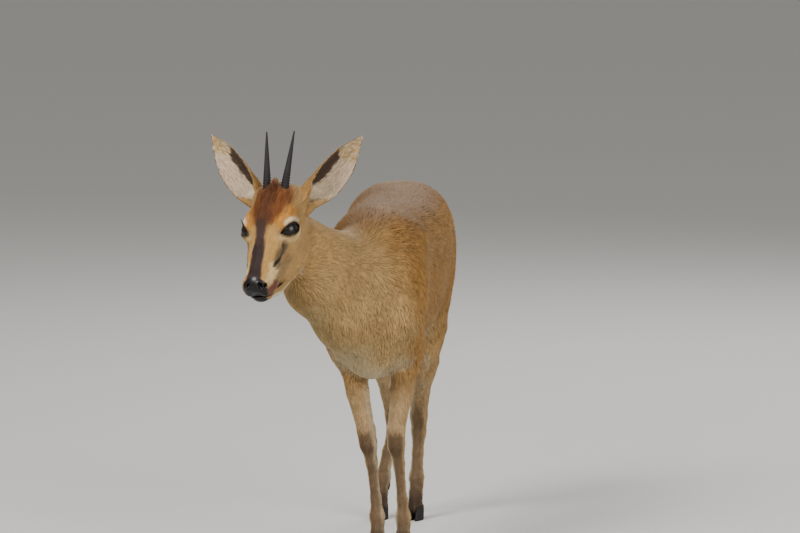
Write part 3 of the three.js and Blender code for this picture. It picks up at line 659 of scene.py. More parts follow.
@dataclass
class Surface:
    """Triangles with the direction out of each corner and a place for each on the flat unwrap."""

    points: Array
    normals: Array
    triangles: Array
    unwrap: Array
    kind: Array

    def joined(self, other: "Surface") -> "Surface":
        """Both surfaces as one.

        Args:
            other: The surface whose points follow this one's.

        Returns:
            The joined surface.
        """
        return Surface(
            np.concatenate([self.points, other.points]),
            np.concatenate([self.normals, other.normals]),
            np.concatenate([self.triangles, other.triangles + len(self.points)]),
            np.concatenate([self.unwrap, other.unwrap]),
            np.concatenate([self.kind, other.kind]),
        )

    def areas(self) -> Array:
        """Area of each triangle."""
        a, b, c = (self.points[self.triangles[:, i]] for i in range(3))
        return np.linalg.norm(np.cross(b - a, c - a), axis=1) / 2

    def scattered(self, density: Array, rng: np.random.Generator) -> "Roots":
        """Roots spread evenly over the surface.

        Args:
            density: Roots to a square millimetre, for each triangle.
            rng: Source of the random places.

        Returns:
            The roots.
        """
        middle = self.points[self.triangles].mean(axis=1)
        cell = np.floor(middle / 6.0).astype(np.int64)
        order = np.lexsort((middle[:, 2], cell[:, 0], cell[:, 1], cell[:, 2]))
        total = np.cumsum((self.areas() * density)[order])
        marks = np.arange(int(total[-1])) + rng.random(int(total[-1]))
        chosen = order[np.minimum(np.searchsorted(total, marks), len(order) - 1)]
        u, v = rng.random((2, len(chosen)))
        over = u + v > 1.0
        u[over], v[over] = 1.0 - u[over], 1.0 - v[over]
        share = np.stack([1.0 - u - v, u, v], axis=1)[:, :, None]
        corner = self.triangles[chosen]
        return Roots(
            (self.points[corner] * share).sum(axis=1),
            unit((self.normals[corner] * share).sum(axis=1)),
            (self.unwrap[chosen] * share).sum(axis=1),
            self.kind[chosen],
        )


@dataclass
class Roots:
    """Places where tufts grow: point, direction out of the skin, place on the unwrap, kind of skin."""

    points: Array
    normals: Array
    unwrap: Array
    kind: Array

    def only(self, keep: Array) -> "Roots":
        """The roots that a mask keeps."""
        return Roots(self.points[keep], self.normals[keep], self.unwrap[keep], self.kind[keep])


class Kind(IntEnum):
    """Kinds of skin that are unwrapped apart."""

    TRUNK = 0
    HEAD = 1
    FORE_LEFT = 2
    FORE_RIGHT = 3
    HIND_LEFT = 4
    HIND_RIGHT = 5
    TAIL = 6
    EAR_OUTSIDE = 7
    EAR_INSIDE = 8


def stepped(stops: Sequence[tuple[float, float]]) -> Array:
    """Grid places from the first stop to the last, with the step that each stop gives up to the next.

    Args:
        stops: Pairs of a place and the step that starts there.

    Returns:
        The places, rising.
    """
    places = [np.array([stops[0][0]])]
    for (start, step), (end, _) in zip(stops, stops[1:]):
        count = max(int(round((end - start) / step)), 1)
        places.append(np.linspace(start, end, count + 1)[1:])
    return np.concatenate(places)


COARSE, UPRIGHT, FINE = 4.1, 4.3, 1.56


class SkinNet:
    """The skin of trunk, head, legs and tail, drawn over its distance on a grid."""

    BLOCK = 8
    BATCH = 400_000

    def __init__(self, flesh: Flesh) -> None:
        """Lays out the grid, fine at the head."""
        self.flesh = flesh
        self.axes = (
            stepped([(-168, COARSE), (-160, FINE), (-56, COARSE), (100, COARSE)]),
            stepped([(-284, COARSE), (-276, FINE), (-118, COARSE), (508, COARSE)]),
            stepped([(4, UPRIGHT), (392, FINE), (548, UPRIGHT), (575, UPRIGHT)]),
        )

    def values(self) -> Array:
        """Distances at the grid's points, worked out only near the skin."""
        shape = tuple(len(axis) for axis in self.axes)
        grid = np.full(shape, FAR)
        starts = [np.arange(0, count, self.BLOCK) for count in shape]
        lows = np.stack(np.meshgrid(*starts, indexing="ij"), axis=-1).reshape(-1, 3)
        highs = np.minimum(lows + self.BLOCK, np.array(shape) - 1)
        corner = np.stack([self.axes[i][lows[:, i]] for i in range(3)], axis=1)
        far = np.stack([self.axes[i][highs[:, i]] for i in range(3)], axis=1)
        near = self.flesh.distance((corner + far) / 2)
        reach = np.linalg.norm(far - corner, axis=1) / 2
        inside = near < -reach * 1.6 - 4.0
        ranges = [tuple(slice(place, place + self.BLOCK) for place in low) for low in lows]
        wanted = []
        for index in np.flatnonzero(near < reach * 1.6 + 8.0):
            if inside[index]:
                grid[ranges[index]] = -FAR
            else:
                wanted.append(index)
        flat = np.arange(grid.size).reshape(shape)
        picks = np.concatenate([flat[ranges[index]].ravel() for index in wanted])
        i, j, k = np.unravel_index(picks, shape)
        points = np.stack([self.axes[0][i], self.axes[1][j], self.axes[2][k]], axis=1)
        result = np.empty(len(points))
        for start in range(0, len(points), self.BATCH):
            part = slice(start, start + self.BATCH)
            result[part] = self.flesh.distance(points[part])
        grid.ravel()[picks] = result
        return grid

    @staticmethod
    def cells_round(axis: int, index: Array) -> list[tuple[Array, ...]]:
        """Numbers of the four cells that share each edge of the grid.

        Args:
            axis: Number of the axis that the edges run along.
            index: Place of each edge in the grid.

        Returns:
            Four sets of cell numbers.
        """
        cells = []
        for a, b in ((0, 0), (0, 1), (1, 0), (1, 1)):
            cell = index.copy()
            cell[:, (axis + 1) % 3] -= a
            cell[:, (axis + 2) % 3] -= b
            cells.append(tuple(cell.T))
        return cells

    def drawn(self) -> tuple[Array, Array]:
        """Points and four-cornered faces of the skin."""
        grid = self.values()
        shape = np.array(grid.shape)
        inside = grid < 0.0
        total = np.zeros(tuple(shape - 1) + (3,))
        count = np.zeros(tuple(shape - 1))
        edges = []
        for axis in range(3):
            low = tuple(slice(0, -1) if i == axis else slice(None) for i in range(3))
            high = tuple(slice(1, None) if i == axis else slice(None) for i in range(3))
            i, j, k = np.nonzero(inside[low] != inside[high])
            index = np.stack([i, j, k], axis=1)
            start = grid[low][i, j, k]
            share = start / (start - grid[high][i, j, k])
            place = np.stack([self.axes[n][index[:, n]] for n in range(3)], axis=1)
            step = self.axes[axis][index[:, axis] + 1] - place[:, axis]
            place[:, axis] += step * np.clip(share, 0.02, 0.98)
            for cell in self.cells_round(axis, index):
                np.add.at(total, cell, place)
                np.add.at(count, cell, 1.0)
            edges.append((axis, index, inside[low][i, j, k]))
        used = count > 0
        number = np.full(used.shape, -1)
        number[used] = np.arange(int(used.sum()))
        points = total[used] / count[used][:, None]
        faces = []
        for axis, index, outward in edges:
            cells = self.cells_round(axis, index)
            ring = np.stack([number[cells[i]] for i in (0, 2, 3, 1)], axis=1)
            ring[~outward] = ring[~outward][:, ::-1]
            faces.append(ring)
        faces = np.concatenate(faces)
        for _ in range(2):
            away = self.flesh.distance(points)
            points = points - self.flesh.slope(points) * np.clip(away, -1.0, 1.0)[:, None]
        return points, faces

    def surface(self) -> Surface:
        """The skin with its directions and its unwrap."""
        points, faces = self.drawn()
        normals = self.flesh.slope(points, 0.8)
        kind = np.argmin(self.flesh.parts(points)[:, :7], axis=1)[faces[:, 0]]
        corners = Unwrap(points, faces, kind).places()
        triangles = np.concatenate([faces[:, [0, 1, 2]], faces[:, [0, 2, 3]]])
        unwrap = np.concatenate([corners[:, [0, 1, 2]], corners[:, [0, 2, 3]]])
        return Surface(points, normals, triangles, unwrap, np.concatenate([kind, kind]))


class Unwrap:
    """Faces laid flat in pieces that each look one way, in millimetres."""

    def __init__(self, points: Array, faces: Array, kind: Array) -> None:
        """Keeps the faces, and finds which way each one looks.

        Args:
            points: Points of the skin.
            faces: Four point numbers for each face.
            kind: Kind of skin of each face.
        """
        self.points = points
        self.faces = faces
        self.kind = kind
        corner = points[faces]
        self.normal = np.cross(corner[:, 2] - corner[:, 0], corner[:, 3] - corner[:, 1])
        self.axis = np.argmax(np.abs(self.normal), axis=1)

    def labels(self) -> Array:
        """A number for each face, the same for faces of one flat piece."""
        forward = np.take_along_axis(self.normal, self.axis[:, None], 1)[:, 0] > 0
        group = self.kind * 6 + self.axis * 2 + forward
        label = np.arange(len(self.faces))
        rows = np.tile(np.arange(len(self.faces)), 4)
        sides = np.concatenate([self.faces[:, [i, (i + 1) % 4]] for i in range(4)])
        key = sides.min(axis=1) * (len(self.points) + 1) + sides.max(axis=1)
        order = np.argsort(key, kind="stable")
        same = np.flatnonzero(key[order][1:] == key[order][:-1])
        first, second = rows[order[same]], rows[order[same + 1]]
        alike = group[first] == group[second]
        first, second = first[alike], second[alike]
        while True:
            least = np.minimum(label[first], label[second])
            before = label.copy()
            np.minimum.at(label, first, least)
            np.minimum.at(label, second, least)
            np.minimum.at(label, before, label)
            label = label[label]
            if np.array_equal(before, label):
                return np.unique(label, return_inverse=True)[1]

    def places(self) -> Array:
        """Places of the four corners of each face, packed on shelves."""
        label = self.labels()
        corner = self.points[self.faces]
        other = np.array([[1, 2], [0, 2], [0, 1]])[self.axis]
        flat = np.take_along_axis(corner, other[:, None, :], 2)
        count = label.max() + 1
        low = np.full((count, 2), 1e9)
        high = np.full((count, 2), -1e9)
        np.minimum.at(low, label, flat.min(axis=1))
        np.maximum.at(high, label, flat.max(axis=1))
        return flat - low[label][:, None] + packed(high - low)[label][:, None]


SHELF = 1150.0


def packed(sizes: Array) -> Array:
    """Corners for boxes of these sizes, set out on shelves from the tallest down.

    Args:
        sizes: Width and height of each box, in millimetres.

    Returns:
        The low corner of each box.
    """
    corner = np.zeros_like(sizes)
    x = y = height = 0.0
    for index in np.argsort(-sizes[:, 1]):
        width = sizes[index, 0] + 3.0
        if x + width > SHELF:
            x, y, height = 0.0, y + height, 0.0
        corner[index] = (x, y)
        height = max(height, sizes[index, 1] + 3.0)
        x += width
    return corner


def ear_surface(ear: Ear, corner: Array) -> Surface:
    """The skin of one ear, outside and in, closed over its edges.

    Args:
        ear: The ear.
        corner: Place of its unwrap, in millimetres.

    Returns:
        Its surface.
    """
    half = EAR_COLUMNS
    across = np.sin(np.linspace(-math.pi / 2, math.pi / 2, half))
    around = np.concatenate([across, across[::-1]])
    depth = np.repeat([0.0, 1.0], half)
    along = np.linspace(-0.12, 1.0, 57)
    rows, ring = len(along), len(around)
    grid = ear.wall(np.repeat(along, ring), np.tile(around, rows), np.tile(depth, rows))
    faces = np.stack(ring_corners(rows, ring), axis=1)
    i, j = np.divmod(faces[:, 0], ring)
    square = np.stack([np.stack([i + a, j + b], axis=1) for a, b in ((0, 0), (0, 1), (1, 1), (1, 0))], axis=1)
    flat = corner + square * EAR_UNWRAP
    inner = np.where((j >= half) & (j < 2 * half - 1), Kind.EAR_INSIDE, Kind.EAR_OUTSIDE)
    place = np.stack([np.zeros(ring - 2, dtype=int), np.arange(1, ring - 1), np.arange(2, ring)], axis=1)
    fan = (rows - 1) * ring + place
    triangles = np.concatenate([faces[:, [0, 1, 2]], faces[:, [0, 2, 3]], fan])
    top = corner + np.stack([np.full_like(place, rows - 1), place], axis=-1) * EAR_UNWRAP
    unwrap = np.concatenate([flat[:, [0, 1, 2]], flat[:, [0, 2, 3]], top])
    kind = np.concatenate([inner, inner, np.full(ring - 2, Kind.EAR_OUTSIDE)])
    a, b, c = (grid[triangles[:, n]] for n in range(3))
    normal = np.cross(b - a, c - a)
    if normal[: len(faces)][j < half - 1].mean(axis=0) @ -ear.frame()[2] < 0:
        triangles, unwrap, normal = triangles[:, ::-1], unwrap[:, ::-1], -normal
    normals = np.zeros_like(grid)
    for n in range(3):
        np.add.at(normals, triangles[:, n], normal)
    return Surface(grid, unit(normals), triangles, unwrap, kind)


def ring_corners(rows: int, ring: int) -> tuple[Array, Array, Array, Array]:
    """Point numbers of the four corners of each face between rows of ring points each."""
    i, j = (a.ravel() for a in np.meshgrid(np.arange(rows - 1), np.arange(ring), indexing="ij"))
    k = (j + 1) % ring
    return i * ring + j, i * ring + k, (i + 1) * ring + k, (i + 1) * ring + j


class Lie:
    """The way the coat lies, led by combed places on the body and the head."""

    BODY = (
        ((0, -40, 480), (0.15, 1, 0.1)), ((0, 40, 505), (0, 1, 0)), ((0, 160, 505), (0, 1, 0)),
        ((0, 290, 515), (0, 1, -0.05)), ((0, 400, 500), (0, 0.9, -0.5)), ((0, 450, 450), (0, 0.3, -1)),
        ((60, 150, 460), (0.25, 1, -0.35)), ((75, 150, 390), (0, 1, -0.55)), ((60, 150, 310), (-0.1, 0.9, -0.6)),
        ((70, 250, 440), (0.1, 0.9, -0.5)), ((70, 260, 370), (0, 0.8, -0.7)), ((40, 290, 310), (0, 0.8, -0.6)),
        ((60, 350, 450), (0.1, 0.6, -0.9)), ((60, 370, 380), (0, 0.3, -1)), ((55, 385, 310), (0, 0.1, -1)),
        ((30, 440, 380), (0, 0.1, -1)), ((0, 150, 270), (0, 1, -0.1)), ((0, 30, 255), (0, 1, -0.2)),
        ((45, 20, 460), (0.3, 0.8, -0.6)), ((65, 20, 400), (0.1, 0.55, -0.9)), ((60, 10, 340), (0, 0.3, -1)),
        ((0, -60, 320), (0, 0.3, -1)), ((0, -75, 370), (0, 0.1, -1)),
    )
    NECK = (
        ((-75, -110, 500), (0.55, 0.8, -0.35)), ((-30, -40, 480), (0.4, 0.9, -0.1)),
        ((-35, -80, 450), (0.55, 0.65, -0.6)), ((-30, -60, 400), (0.4, 0.5, -0.8)),
        ((-100, -70, 450), (0.3, 0.7, -0.7)), ((-80, -50, 400), (0.3, 0.5, -0.9)),
        ((-100, -150, 440), (0.3, 0.5, -0.9)), ((-75, -110, 400), (0.25, 0.3, -1)),
    )
    FACE = (
        ((92, 0, 5), (-1, 0, 0.2)), ((60, 0, 14), (-1, 0, 0.15)), ((25, 0, 28), (-1, 0, 0.4)),
        ((-10, 0, 42), (-1, 0, 0.2)), ((-45, 0, 40), (-1, 0, -0.2)), ((80, 18, -14), (-1, 0.2, -0.25)),
        ((55, 20, -20), (-1, 0.1, -0.3)), ((20, 28, -22), (-1, 0.2, -0.35)), ((-15, 32, -35), (-1, 0, -0.3)),
        ((60, 10, -45), (-1, 0, -0.1)), ((10, 14, -66), (-1, 0, -0.2)), ((-30, 10, -65), (-1, 0, -0.3)),
        ((20, 24, 12), (-0.8, 0.5, 0.5)), ((-5, 28, 26), (-1, 0.4, 0.3)), ((-35, 36, 8), (-1, 0.2, 0)),
        ((-45, 34, -25), (-1, 0, -0.4)), ((-62, 30, 15), (-1, 0.4, 0.2)),
    )

    def __init__(self) -> None:
        """Sets out the guides of both sides."""
        places, ways = [], []
        for place, way in self.BODY:
            for side in (LEFT, RIGHT):
                places.append((HIP_X * place[1] / 450 + side * place[0], place[1], place[2]))
                ways.append((side * way[0], way[1], way[2]))
        places += [place for place, _ in self.NECK]
        ways += [way for _, way in self.NECK]
        for place, way in self.FACE:
            for side in (LEFT, RIGHT):
                places.append(HEAD.outward(np.array([place[0], side * place[1], place[2]], dtype=float)))
                ways.append(HEAD.turned(np.array([way[0], side * way[1], way[2]], dtype=float)))
        for leg in LEGS:
            for joint in leg.joints[1:]:
                places.append(joint.at)
                ways.append((0, 0.12, -1))
        for y, z in TAIL_LINE[1:]:
            places.append((HIP_X, y, z))
            ways.append((0, 0.9, -0.3) if z > 460 else (0, 0.05, -1))
        self.places = np.array(places, dtype=float)
        self.ways = unit(np.array(ways, dtype=float))

    def at(self, points: Array, normals: Array) -> Array:
        """The way the coat lies at each point, along the skin.

        Args:
            points: Points of the body's frame.
            normals: Directions out of the skin there.

        Returns:
            Directions of length 1.
        """
        way = np.empty_like(points)
        for start in range(0, len(points), 50_000):
            part = slice(start, start + 50_000)
            away = ((points[part, None] - self.places[None]) ** 2).sum(axis=2)
            weight = 1.0 / (away + 150.0) ** 2
            way[part] = (weight[:, :, None] * self.ways[None]).sum(axis=1) / weight.sum(axis=1)[:, None]
        way = unit(way)
        turn = 0.2 * drift(points, 22.0, 5) + 0.12 * drift(points, 7.0, 6)
        flat = unit(way - normals * (way * normals).sum(axis=1)[:, None])
        return unit(flat + np.cross(normals, flat) * turn[:, None])


@dataclass
class Tufts:
    """Tufts of coat, each a thin three-sided blade that lies over the skin."""

    roots: Roots
    way: Array
    length: Array
    width: Array
    height: Array
    tones: Array
    flesh: Flesh | None = None

    def lofted(self, share: float, lift: float) -> Array:
        """Middle of each blade part of the way along, held above the skin.

        Args:
            share: Share of the way from root to tip.
            lift: Share of the tuft's height above the skin.

        Returns:
            One point for each blade.
        """
        points, normals = self.roots.points, self.roots.normals
        place = points + self.way * (self.length * share)[:, None] + normals * (self.height * lift)[:, None]
        if self.flesh is None:
            return place
        away = self.flesh.distance(place)
        most = self.length * 0.4
        return place + normals * np.clip(self.height * lift - away, -most, most)[:, None]

    def build(self, name: str) -> None:
        """Makes a piece of the coat of all the blades.

        Args:
            name: Name of the piece.
        """
        roots, count = self.roots, len(self.length)
        side = unit(np.cross(roots.normals, self.way))
        root = roots.points - roots.normals * np.minimum(self.height, 1.2)[:, None] * 0.6
        middle, tip = self.lofted(0.5, 0.62), self.lofted(1.0, 1.0)
        half = self.width[:, None] / 2
        thick = roots.normals * half * 0.7
        rows = (
            root + side * half * 0.7, root - side * half * 0.7, root + thick,
            middle + side * half - thick * 0.4, middle - side * half - thick * 0.4, middle + thick, tip,
        )
        points = np.stack(rows, axis=1).reshape(-1, 3)
        out = roots.normals
        left, right = out + side * 0.75, out - side * 0.75
        leans = (left, right, out, left, right, out, out + self.way * 0.2)
        normals = unit(np.stack(leans, axis=1).reshape(-1, 3))
        triangles = (np.arange(count)[:, None, None] * 7 + TUFT_TRIANGLES[None]).reshape(-1, 3)
        places = (roots.unwrap[:, None] + TUFT_PATCH[None]).reshape(-1, 2)
        unwrap = places[triangles].reshape(-1, 2)
        build_piece(name, points, triangles, Look.COAT, self.tones.reshape(-1, 3), normals, unwrap)


TUFT_TRIANGLES = np.array(
    [
        (0, 5, 3), (0, 2, 5), (1, 5, 2), (1, 4, 5), (0, 4, 1), (0, 3, 4),
        (3, 5, 6), (4, 6, 5), (3, 6, 4), (0, 1, 2),
    ]
)
TUFT_PATCH = np.array([(-1, -1), (1, -1), (0, -1), (-1, 0.1), (1, 0.1), (0, 0.1), (0, 1)]) * 0.0015


def shade(red: float, green: float, blue: float) -> Array:
    """A colour as it looks on screen, 0 to 255, turned into amounts of light."""
    value = np.array([red, green, blue]) / 255.0
    return np.where(value <= 0.04045, value / 12.92, ((value + 0.055) / 1.055) ** 2.4)


class Tone:
    """Colours of hair, bare skin, eyes, horns and hooves, and of painted shade round the eyes and in the ears,
    as amounts of light.
    """

    BODY = shade(160, 122, 72)
    BACK = shade(126, 94, 58)
    RUMP = shade(164, 118, 64)
    NECK = shade(173, 146, 104)
    THROAT = shade(176, 154, 114)
    LOW_FLANK = shade(182, 152, 108)
    BELLY = shade(214, 200, 172)
    LEG = shade(176, 150, 114)
    LEG_INSIDE = shade(204, 188, 160)
    LEG_LINE = shade(88, 70, 56)
    KNEE = shade(70, 50, 38)
    PASTERN = shade(66, 50, 42)
    TAIL_ABOVE = shade(44, 34, 28)
    TAIL_BELOW = shade(226, 220, 206)
    CHEEK = shade(170, 138, 93)
    BROW = shade(228, 210, 178)
    UNDER_EYE = shade(206, 180, 134)
    EYE_SHADOW = shade(96, 76, 60)
    LID = shade(36, 27, 24)
    GLAND_LINE = shade(30, 24, 22)
    NOSE = shade(26, 22, 22)
    LIPS = shade(40, 28, 26)
    EAR_BEHIND = shade(160, 126, 82)
    EAR_WITHIN = shade(186, 160, 138)
    # Painted shade: the dark inside of the ear's cup.
    EAR_CAVITY_SHADE = shade(58, 42, 32)
    EAR_RIM = shade(44, 34, 30)
    EAR_ROOT = shade(168, 132, 84)
    EAR_FOOT_HAIR = shade(206, 190, 164)
    EAR_PALE_HAIR = shade(200, 182, 158)
    CREST = shade(96, 56, 34)
    PUPIL = shade(12, 9, 8)
    IRIS = shade(52, 30, 18)
    EYE_EDGE = shade(20, 13, 10)
    HORN = shade(22, 18, 17)
    HOOF = shade(50, 43, 40)


@dataclass(frozen=True)
class Mark:
    """A marking of the head: a soft patch round a line, as a rule the same on both sides."""

    tone: tuple[float, float, float]
    start: Triple
    end: Triple
    start_radius: float
    end_radius: float
    soft: float = 5.0
    strength: float = 1.0
    paired: bool = True

    def share(self, local: Array, wobble: Array) -> Array:
        """How much of the marking shows at each point of the head's frame.

        Args:
            local: Points of the head's frame.
            wobble: Soft noise of each point, which makes edges uneven.

        Returns:
            Shares from 0 to 1.
        """
        if self.paired:
            local = one_sided(local)
        reach = Limb(self.start, self.end, self.start_radius, self.end_radius).distance(local)
        return self.strength * smooth(self.soft, -self.soft * 0.4, reach + wobble * self.soft * 0.5)


FACE_MARKS = (
    Mark((172, 140, 96), (-45, 22, -30), (30, 20, -30), 30, 22, 14),
    Mark((184, 158, 120), (-40, 6, -70), (75, 0, -55), 14, 12, 9),
    Mark((118, 74, 42), (-58, 0, 42), (2, 0, 33), 32, 18, 9),
    Mark((186, 132, 68), (-20, 31, 20), (8, 22, 22), 6, 6, 7),
    Mark((190, 152, 96), (20, 14, 20), (84, 14, 0), 8, 7, 6),
    Mark((140, 118, 88), (34, 22, -18), (72, 17, -20), 9, 7, 8, 0.7),
    Mark((216, 190, 142), (62, 19, -6), (82, 20, -8), 6.5, 6.0, 5),
    Mark((90, 78, 66), (24, 27, 0), (56, 21, -6), 4.0, 4.6, 4.5, 0.75),
    Mark((226, 212, 186), (40, 14, 14), (92, 18, -2), 1.2, 1.4, 2.2, 0.6),
    Mark((80, 60, 54), (12, -3, 31), (50, -2.5, 16), 6.2, 8.6, 3.5, paired=False),
    Mark((70, 54, 52), (50, -2.5, 16), (97, -1, 3), 8.6, 11.0, 3.0, paired=False),
    Mark((84, 54, 38), (-50, 0, 42), (12, -2, 32), 9.0, 6.0, 8, 0.6, paired=False),
    Mark((222, 210, 186), (10, 22, -66), (92, 10, -47), 5, 8, 6, 0.9),
    Mark((120, 76, 68), (80, 22, -19), (93, 19, -18), 5.5, 5.0, 3, 0.95),
    Mark((60, 44, 42), (64, 19, -34), (92, 17, -27), 2.0, 2.6, 3, 0.8),
)


class Markings:
    """The colours of the coat over the whole animal."""

    def at(self, points: Array, normals: Array, kind: Array) -> Array:
        """Colour of the coat at each point.

        Args:
            points: Points of the body's frame.
            normals: Directions out of the skin there.
            kind: Kind of skin of each point.

        Returns:
            Amounts of red, green and blue light, a row for each point.
        """
        tone = self.trunk(points, normals)
        tone = self.legs(tone, points, normals)
        tone = self.tail(tone, normals, kind)
        return self.head(tone, points, kind)

    def trunk(self, points: Array, normals: Array) -> Array:
        """Colours of neck and body.

        Args:
            points: Points of the body's frame.
            normals: Directions out of the skin there.

        Returns:
            The new colours, a row for each point.
        """
        y, z = points.T[1:]
        patch = drift(points, 34.0, 21)
        tone = np.tile(Tone.BODY, (len(points), 1))
        top = smooth(0.35, 0.9, normals[:, 2] + 0.18 * patch) * smooth(380, 450, z)
        tone = mixed(tone, Tone.BACK, top * 0.85)
        rump = smooth(270, 400, y + 20 * patch)
        tone = mixed(tone, Tone.RUMP, rump * smooth(300, 400, z) * 0.75)
        tone = mixed(tone, Tone.NECK, smooth(10, -50, y + 12 * patch) * 0.75)
        throat = smooth(-0.1, -0.8, normals[:, 2] + 0.2 * patch) * smooth(40, -60, y)
        tone = mixed(tone, Tone.THROAT, throat * 0.7)
        low = smooth(350, 285, z + 10 * patch) * smooth(60, 130, y) * smooth(390, 330, y)
        tone = mixed(tone, Tone.LOW_FLANK, low * 0.6)
        belly = smooth(-0.3, -0.9, normals[:, 2]) * smooth(330, 270, z)
        return mixed(tone, Tone.BELLY, belly * 0.8)

    def legs(self, tone: Array, points: Array, normals: Array) -> Array:
        """Colours of the legs over those of the body.

        Args:
            tone: Colours so far, a row for each point.
            points: Points of the body's frame.
            normals: Directions out of the skin there.

        Returns:
            The new colours, a row for each point.
        """
        x, y, z = points.T
        patch = drift(points, 16.0, 22)
        fore = y < MID_BODY
        high = np.where(fore, smooth(300, 215, z), smooth(300, 190, z))
        tone = mixed(tone, Tone.LEG, high * 0.85)
        inner = high * smooth(0.35, 0.9, np.where(x > np.where(fore, 22, -30), -normals[:, 0], normals[:, 0]))
        tone = mixed(tone, Tone.LEG_INSIDE, inner * 0.6)
        front = smooth(0.35, 0.85, -normals[:, 1] + 0.15 * patch)
        line = smooth(205, 150, z) * front
        tone = mixed(tone, Tone.LEG_LINE, line * 0.7)
        knee = smooth(24, 8, np.abs(z - 172)) * front * fore
        tone = mixed(tone, Tone.KNEE, knee * 0.6)
        pastern = smooth(62, 30, z + 6 * patch)
        return mixed(tone, Tone.PASTERN, pastern * 0.8)

    def tail(self, tone: Array, normals: Array, kind: Array) -> Array:
        """Black above and white below the tail.

        Args:
            tone: Colours so far, a row for each point.
            normals: Directions out of the skin there.
            kind: Kind of skin of each point.

        Returns:
            The new colours, a row for each point.
        """
        on = (kind == Kind.TAIL) * 1.0
        above = smooth(0.1, -0.2, normals @ np.array([0.0, -0.75, -0.66])) * on
        tone = mixed(tone, Tone.TAIL_ABOVE, above * 0.92)
        return mixed(tone, Tone.TAIL_BELOW, on * (1 - above))

    def head(self, tone: Array, points: Array, kind: Array) -> Array:
        """Colours of face and ears over those of the body.

        Args:
            tone: Colours so far, a row for each point.
            points: Points of the body's frame.
            kind: Kind of skin of each point.

        Returns:
            The new colours, a row for each point.
        """
        local = HEAD.inward(points)
        near = np.flatnonzero(np.abs(local - HEAD_MIDDLE).max(axis=1) < 130.0)
        if not near.size:
            return tone
        local = local[near]
        wobble = drift(local, (14.0, 4.0, 5.0), 31)
        face = tone[near]
        on_head = smooth(-75, -45, local[:, 0] + 8 * wobble) * smooth(-95, -70, local[:, 2])
        face = mixed(face, Tone.CHEEK, on_head)
        strand = drift(local, (16.0, 1.7, 2.4), 33)
        for mark in FACE_MARKS:
            face = mixed(face, shade(*mark.tone), mark.share(local, wobble) * on_head)
        crown = smooth(16, -4, local[:, 0]) * smooth(12, 24, local[:, 2]) * on_head
        face = face * (1.0 + 0.34 * strand * crown)[:, None]
        face = self.ears(face, points[near], local, kind[near], wobble)
        skin = kind[near] < Kind.EAR_OUTSIDE
        face = self.eyes(face, local, skin, wobble)
        face = mixed(face, Tone.GLAND_LINE, smooth(1.2, -0.6, gland_reach(local, 1.7)) * skin)
        face = mixed(face, Tone.NOSE, self.bare_nose(local) * skin)
        line = np.abs(local[:, 2] - mouth_height(local[:, 0]))
        lips = smooth(2.6, 1.0, line) * smooth(52, 62, local[:, 0]) * skin
        face = mixed(face, Tone.LIPS, lips)
        tone[near] = face
        return tone

    def ears(self, face: Array, points: Array, local: Array, kind: Array, wobble: Array) -> Array:
        """Colours of the ears, pale inside and tan behind, with painted shade in their cups, over those of the
        face.

        Args:
            face: Colours so far, a row for each point.
            points: Points of the body's frame.
            local: The same points in the head's frame.
            kind: Kind of skin of each point.
            wobble: Soft noise of each point, which makes edges uneven.

        Returns:
            The new colours, a row for each point.
        """
        ear = kind >= Kind.EAR_OUTSIDE
        inside = kind == Kind.EAR_INSIDE
        face[ear & ~inside] = Tone.EAR_BEHIND
        face[inside] = Tone.EAR_WITHIN
        for one in EARS:
            foot, axis, _, across = one.frame()
            away = points - foot
            along = away @ axis / (axis @ axis)
            mine = ear & (np.sign(local[:, 1]) == one.side)
            aside = (away @ across) * one.side
            # Painted shade in the cup of the ear, darkening one half of its inner wall below the tip.
            cavity_shade = smooth(0.86, 0.66, along) * smooth(3.0, -3.0, aside + 10 * (along - 0.5) + 3 * wobble)
            cavity_shade *= smooth(0.12, 0.22, along)
            face = mixed(face, Tone.EAR_CAVITY_SHADE, cavity_shade * 0.9 * inside * mine)
            rim = smooth(0.84, 0.97, along)
            face = mixed(face, Tone.EAR_RIM, rim * 0.85 * mine)
            root = smooth(0.3, 0.1, along) * (~inside)
            face = mixed(face, Tone.EAR_ROOT, root * 0.7 * mine)
            foot_hair = smooth(0.4, 0.2, along) * smooth(-3.0, 3.0, aside) * inside
            face = mixed(face, Tone.EAR_FOOT_HAIR, foot_hair * 0.85 * mine)
        return face

    def eyes(self, face: Array, local: Array, skin: Array, wobble: Array) -> Array:
        """Pale hair and dark bare skin round the eyes, over the colours of the face.

        Args:
            face: Colours so far, a row for each point.
            local: Points of the head's frame.
            skin: Mask of the points that aren't on the ears.
            wobble: Soft noise of each point, which makes edges uneven.

        Returns:
            The new colours, a row for each point.
        """
        for eye in EYES:
            seen = eye.inward(local)
            off = eye.opening(seen)
            front = (seen[:, 2] > 0.0) * skin * (np.abs(seen[:, 0]) < 26)
            over = smooth(2.4, 3.6, off) * smooth(8.0, 5.0, off + 0.8 * wobble) * smooth(1.0, 5.0, seen[:, 1])
            face = mixed(face, Tone.BROW, over * smooth(11.0, 6.0, seen[:, 0]) * front * 0.95)
            under = smooth(1.5, 3.0, off) * smooth(13.0, 7.0, off + wobble) * smooth(1.0, -4.0, seen[:, 1])
            face = mixed(face, Tone.UNDER_EYE, under * front * 0.8)
            shadow = Limb((15, 0, 6), (24, -1, 2), 4.5, 2.0).distance(seen)
            face = mixed(face, Tone.EYE_SHADOW, smooth(5.0, -1.0, shadow) * skin * 0.7)
            rim = smooth(3.2, 1.5, off) * (seen[:, 2] > 1.0) * skin
            face = mixed(face, Tone.LID, rim)
            corner = Limb((14, 0, 7), (20, -1, 4), 2.4, 1.2).distance(seen)
            face = mixed(face, Tone.LID, smooth(1.6, -0.6, corner) * skin)
        return face

